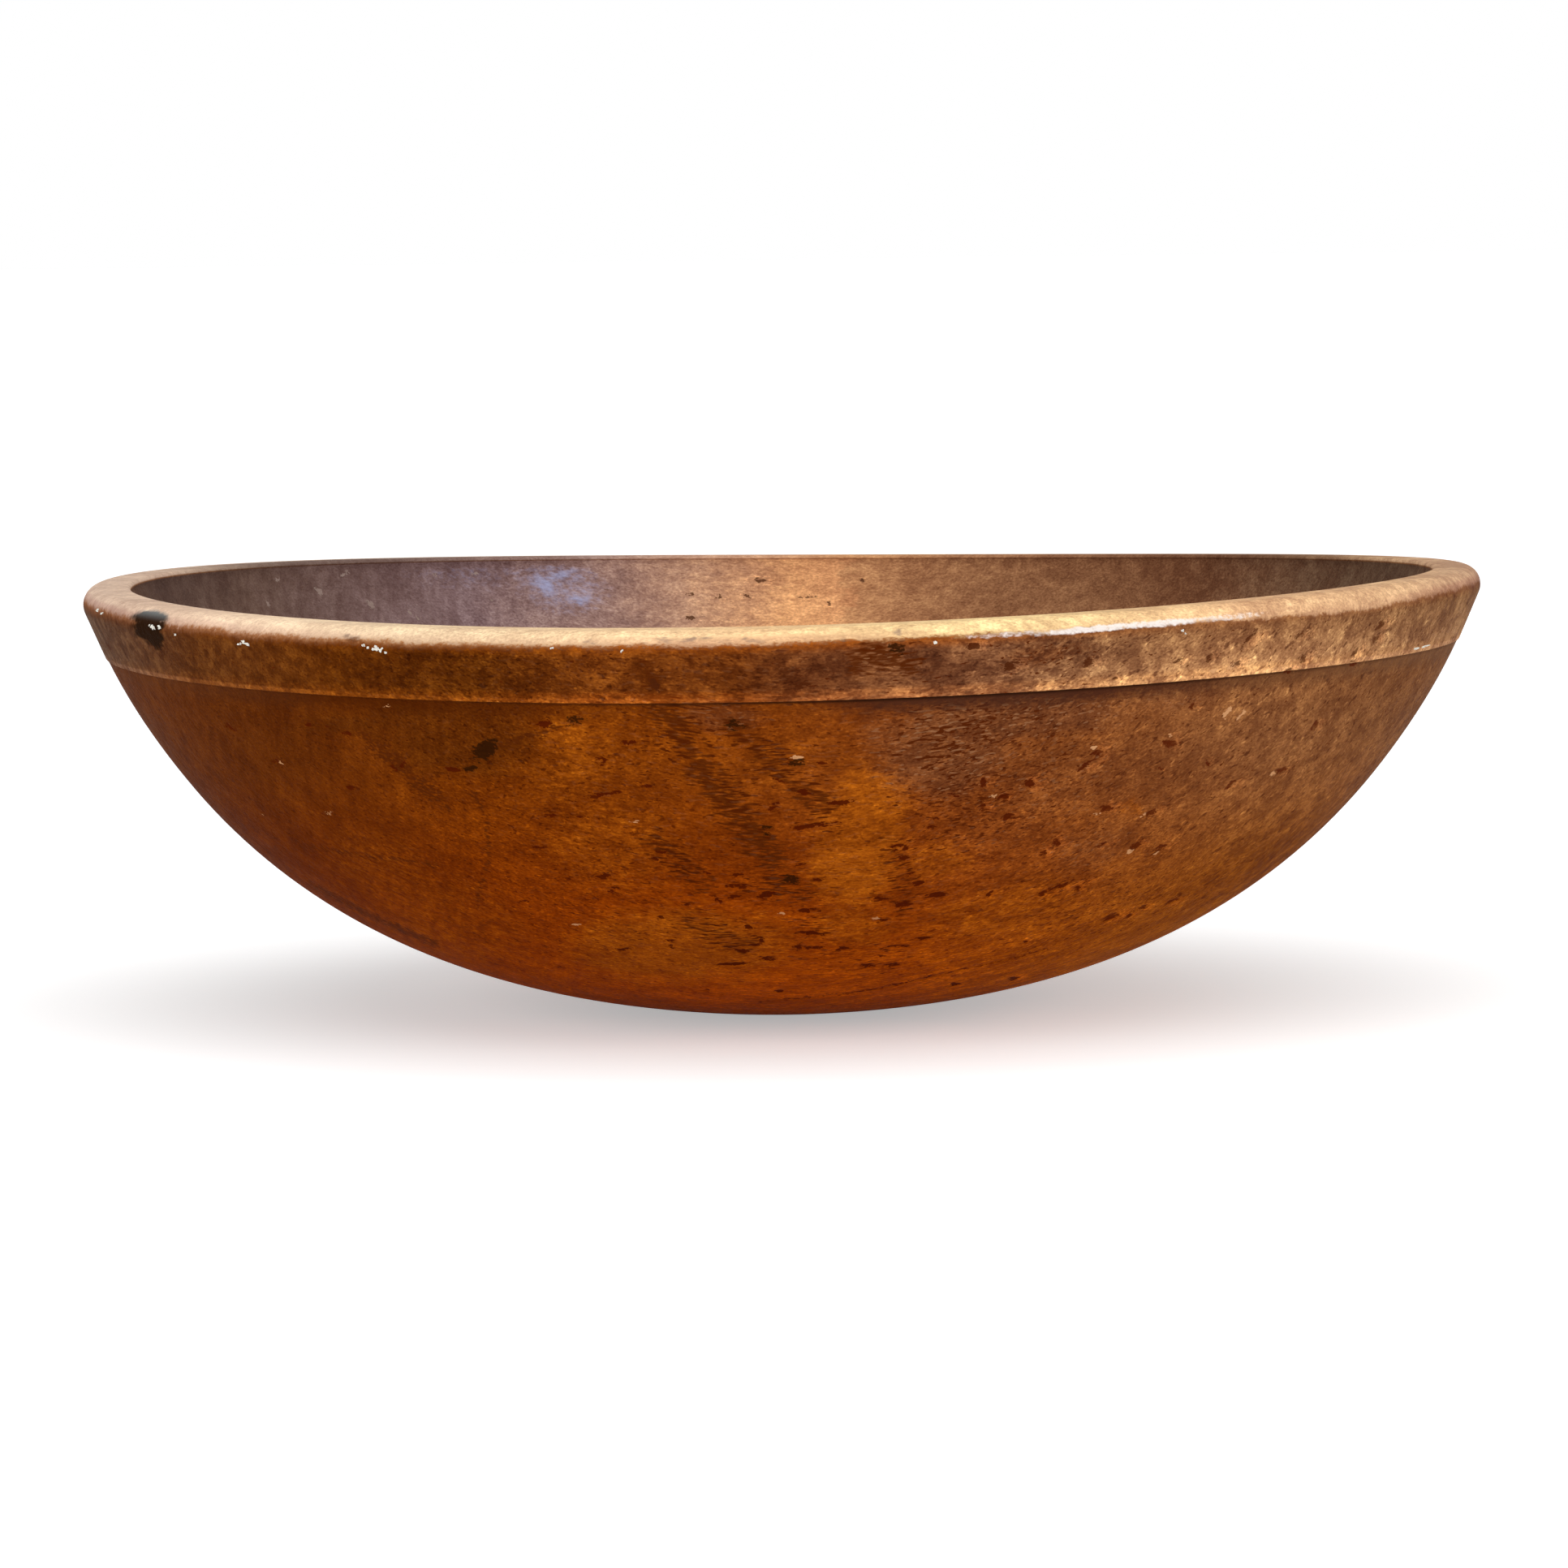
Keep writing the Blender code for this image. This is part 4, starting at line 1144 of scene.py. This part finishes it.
bowlMesh.materials.clear()
bowlMesh.materials.append(makeWaxedWood(woodLook, bowlShape, runMarks))
print("wood finished")


paintFlecks = {
    "seed": 11,
    "thickness": 0.00020,
    "crumbs": 7,
    "crumbSize": 0.18,  # half a crumb, as a share of its fleck
    "crumbVaries": (0.6, 1.3),
    "scatter": (-0.32, 0.32),  # of the crumbs, in lengths and heights of their fleck
    "swell": 0.9,  # how uneven a crumb is, and how fine that is
    "swellScale": 1.9,
    "swellShift": (3.1, 5.3),  # from fleck to fleck, and from crumb to crumb
    "colour": (0.80, 0.78, 0.70),
    "chalk": (0.0012, 0.0012, 0.0012),
    "chalkTone": (0.10, 0.95),
    "rough": 0.75,
    "specular": 0.2,
    # dried splashes of white paint near the rim: pixel across, pixel down, length, height, tilt
    "spots": [
        (120, 752, 4, 5, 0), (125, 756, 4, 3, 10), (186, 771, 6, 6, 30), (190, 774, 6, 5, 0),
        (197, 773, 7, 6, 0), (216, 782, 3, 3, 0), (295, 793, 6, 5, 0), (299, 791, 5, 5, 0),
        (304, 794, 7, 5, -20), (448, 795, 5, 4, 0), (453, 798, 4, 4, 0), (464, 798, 12, 8, 0),
        (470, 801, 7, 6, 20), (474, 804, 6, 3, 0), (680, 799, 6, 4, 10), (766, 802, 5, 3, 40),
        (1152, 792, 5, 6, 60), (1457, 777, 4, 4, 0), (1461, 780, 3, 4, 0), (1746, 799, 10, 2.4, 10),
        (1756, 796, 12, 2.2, 20),
    ],
}


def makePaintFlecks(look, place, base):
    bpy.context.view_layer.update()
    spot, turn, focal = place
    half = photoView["side"] / 2
    flecks = bmesh.new()
    dice = random.Random(look["seed"])
    for index, (column, row, long, tall, tilt) in enumerate(look["spots"]):
        aim = (turn @ Vector(((column - half) / focal, (half - row) / focal, -1))).normalized()
        found, point, normal, face = base.ray_cast(spot, aim)
        if not found:
            continue
        pixel = (point - spot).length / focal
        lean = radians(tilt)
        across = turn @ Vector((cos(lean), sin(lean), 0))
        upward = turn @ Vector((-sin(lean), cos(lean), 0))
        across -= aim * across.dot(normal) / aim.dot(normal)
        upward -= aim * upward.dot(normal) / aim.dot(normal)
        for crumb in range(look["crumbs"]):
            size = look["crumbSize"] * dice.uniform(*look["crumbVaries"])
            aside = across * long * dice.uniform(*look["scatter"])
            aside += upward * tall * dice.uniform(*look["scatter"])
            shift = Vector((index * look["swellShift"][0], crumb * look["swellShift"][1], 0))
            for vert in bmesh.ops.create_icosphere(flecks, subdivisions=2, radius=1.0)["verts"]:
                swell = 1 + look["swell"] * noise.noise(vert.co * look["swellScale"] + shift)
                x, y, z = vert.co * swell * size
                vert.co = point + (aside + across * x * long + upward * y * tall) * pixel
                vert.co += normal * z * look["thickness"] / size
                vert.co = [min(max(value, low), high) for value, low, high in zip(vert.co, cadLow, cadHigh)]
    bmesh.ops.recalc_face_normals(flecks, faces=flecks.faces)
    mesh = finishMesh(flecks, "paint_flecks")
    mesh.shade_smooth()
    piece = addObject("paint_flecks", mesh)
    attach(piece, "root")

    dried = bpy.data.materials.new("dried_paint")
    shader = startNodes(dried)["Principled BSDF"]
    chalk = grainNoise(addNode("ShaderNodeTexCoord", {}).outputs["Object"], look["chalk"])
    feedAll(shader, {
        "Base Color": shaded(look["colour"], sums("MULTIPLY_ADD", chalk, *look["chalkTone"])),
        "Roughness": look["rough"],
        "Specular IOR Level": look["specular"],
    })
    mesh.materials.append(dried)


makePaintFlecks(paintFlecks, place, bowl)
print("paint flecks set")


stageLook = {
    "floorSize": 60.0,
    "floorTone": 0.90,
    "floorLift": 0.40,  # added for the camera only, so that the floor reads white
    "worldLight": 0.40,
    "white": (1.0, 1.0, 1.0),
    "sky": {
        "strength": 1.35, "softness": radians(80), "around": radians(30), "above": radians(70),
    },
    # two wide low lamps: bearing from -Y towards +X
    "lamps": [radians(-35), radians(62)],
    "lamp": {"size": 1.2, "power": 10.5, "away": 1.6, "height": 0.35, "aim": 0.05},
}


def seenDirectly():
    # camera, mirror and glass rays see the white surroundings
    rays = addNode("ShaderNodeLightPath", {}).outputs
    first = sums("MAXIMUM", rays["Is Camera Ray"], rays["Is Glossy Ray"])
    return sums("MAXIMUM", first, rays["Is Transmission Ray"])


def makeFloor(look):
    plane = bmesh.new()
    bmesh.ops.create_grid(plane, x_segments=1, y_segments=1, size=look["floorSize"] / 2)
    floor = addObject("floor", finishMesh(plane, "floor"))
    paper = bpy.data.materials.new("pale_floor")
    shader = startNodes(paper)["Principled BSDF"]
    feedAll(shader, {
        "Base Color": (look["floorTone"],) * 3,
        "Roughness": 1.0,
        "Specular IOR Level": 0.0,
        "Emission Color": look["white"],
        "Emission Strength": times(seenDirectly(), look["floorLift"]),
    })
    floor.data.materials.append(paper)


def makeWorld(look):
    world = bpy.data.worlds.new("studio")
    bpy.context.scene.world = world
    background = startNodes(world)["Background"]
    strength = stretch(seenDirectly(), 0.0, 1.0, look["worldLight"], 1.0, smooth=False)
    feedAll(background, {"Color": look["white"], "Strength": strength})


def makeSky(sky):
    # one wide soft light from above
    light = bpy.data.lights.new("sky", "SUN")
    light.energy = sky["strength"]
    light.angle = sky["softness"]
    out = Vector((sin(sky["around"]), -cos(sky["around"]), 0)) * cos(sky["above"])
    out.z = sin(sky["above"])
    addObject("sky", light).rotation_euler = (-out).to_track_quat("-Z", "Y").to_euler()


def makeLamp(lamp, bearing):
    light = bpy.data.lights.new("lamp", "AREA")
    light.shape = "DISK"
    light.size = lamp["size"]
    light.energy = lamp["power"]
    holder = addObject("lamp", light)
    out = Vector((sin(bearing), -cos(bearing), 0))
    holder.location = out * lamp["away"] + Vector((0, 0, lamp["height"]))
    aim = Vector((0, 0, lamp["aim"])) - holder.location
    holder.rotation_euler = aim.to_track_quat("-Z", "Y").to_euler()


def makeCamera(view, place):
    spot, turn, focal = place
    lens = bpy.data.cameras.new("photo_view")
    lens.sensor_width = view["sensor"]
    lens.lens = focal * view["sensor"] / view["side"]
    lens.clip_end = view["farthest"]
    camera = addObject("photo_view", lens)
    camera.location = spot
    camera.rotation_mode = "QUATERNION"
    camera.rotation_quaternion = turn
    bpy.context.scene.camera = camera


makeFloor(stageLook)
makeWorld(stageLook)
makeSky(stageLook["sky"])
for bearing in stageLook["lamps"]:
    makeLamp(stageLook["lamp"], bearing)
makeCamera(photoView, place)
bpy.context.scene.view_settings.view_transform = "Standard"
print("stage, lamps and camera set")
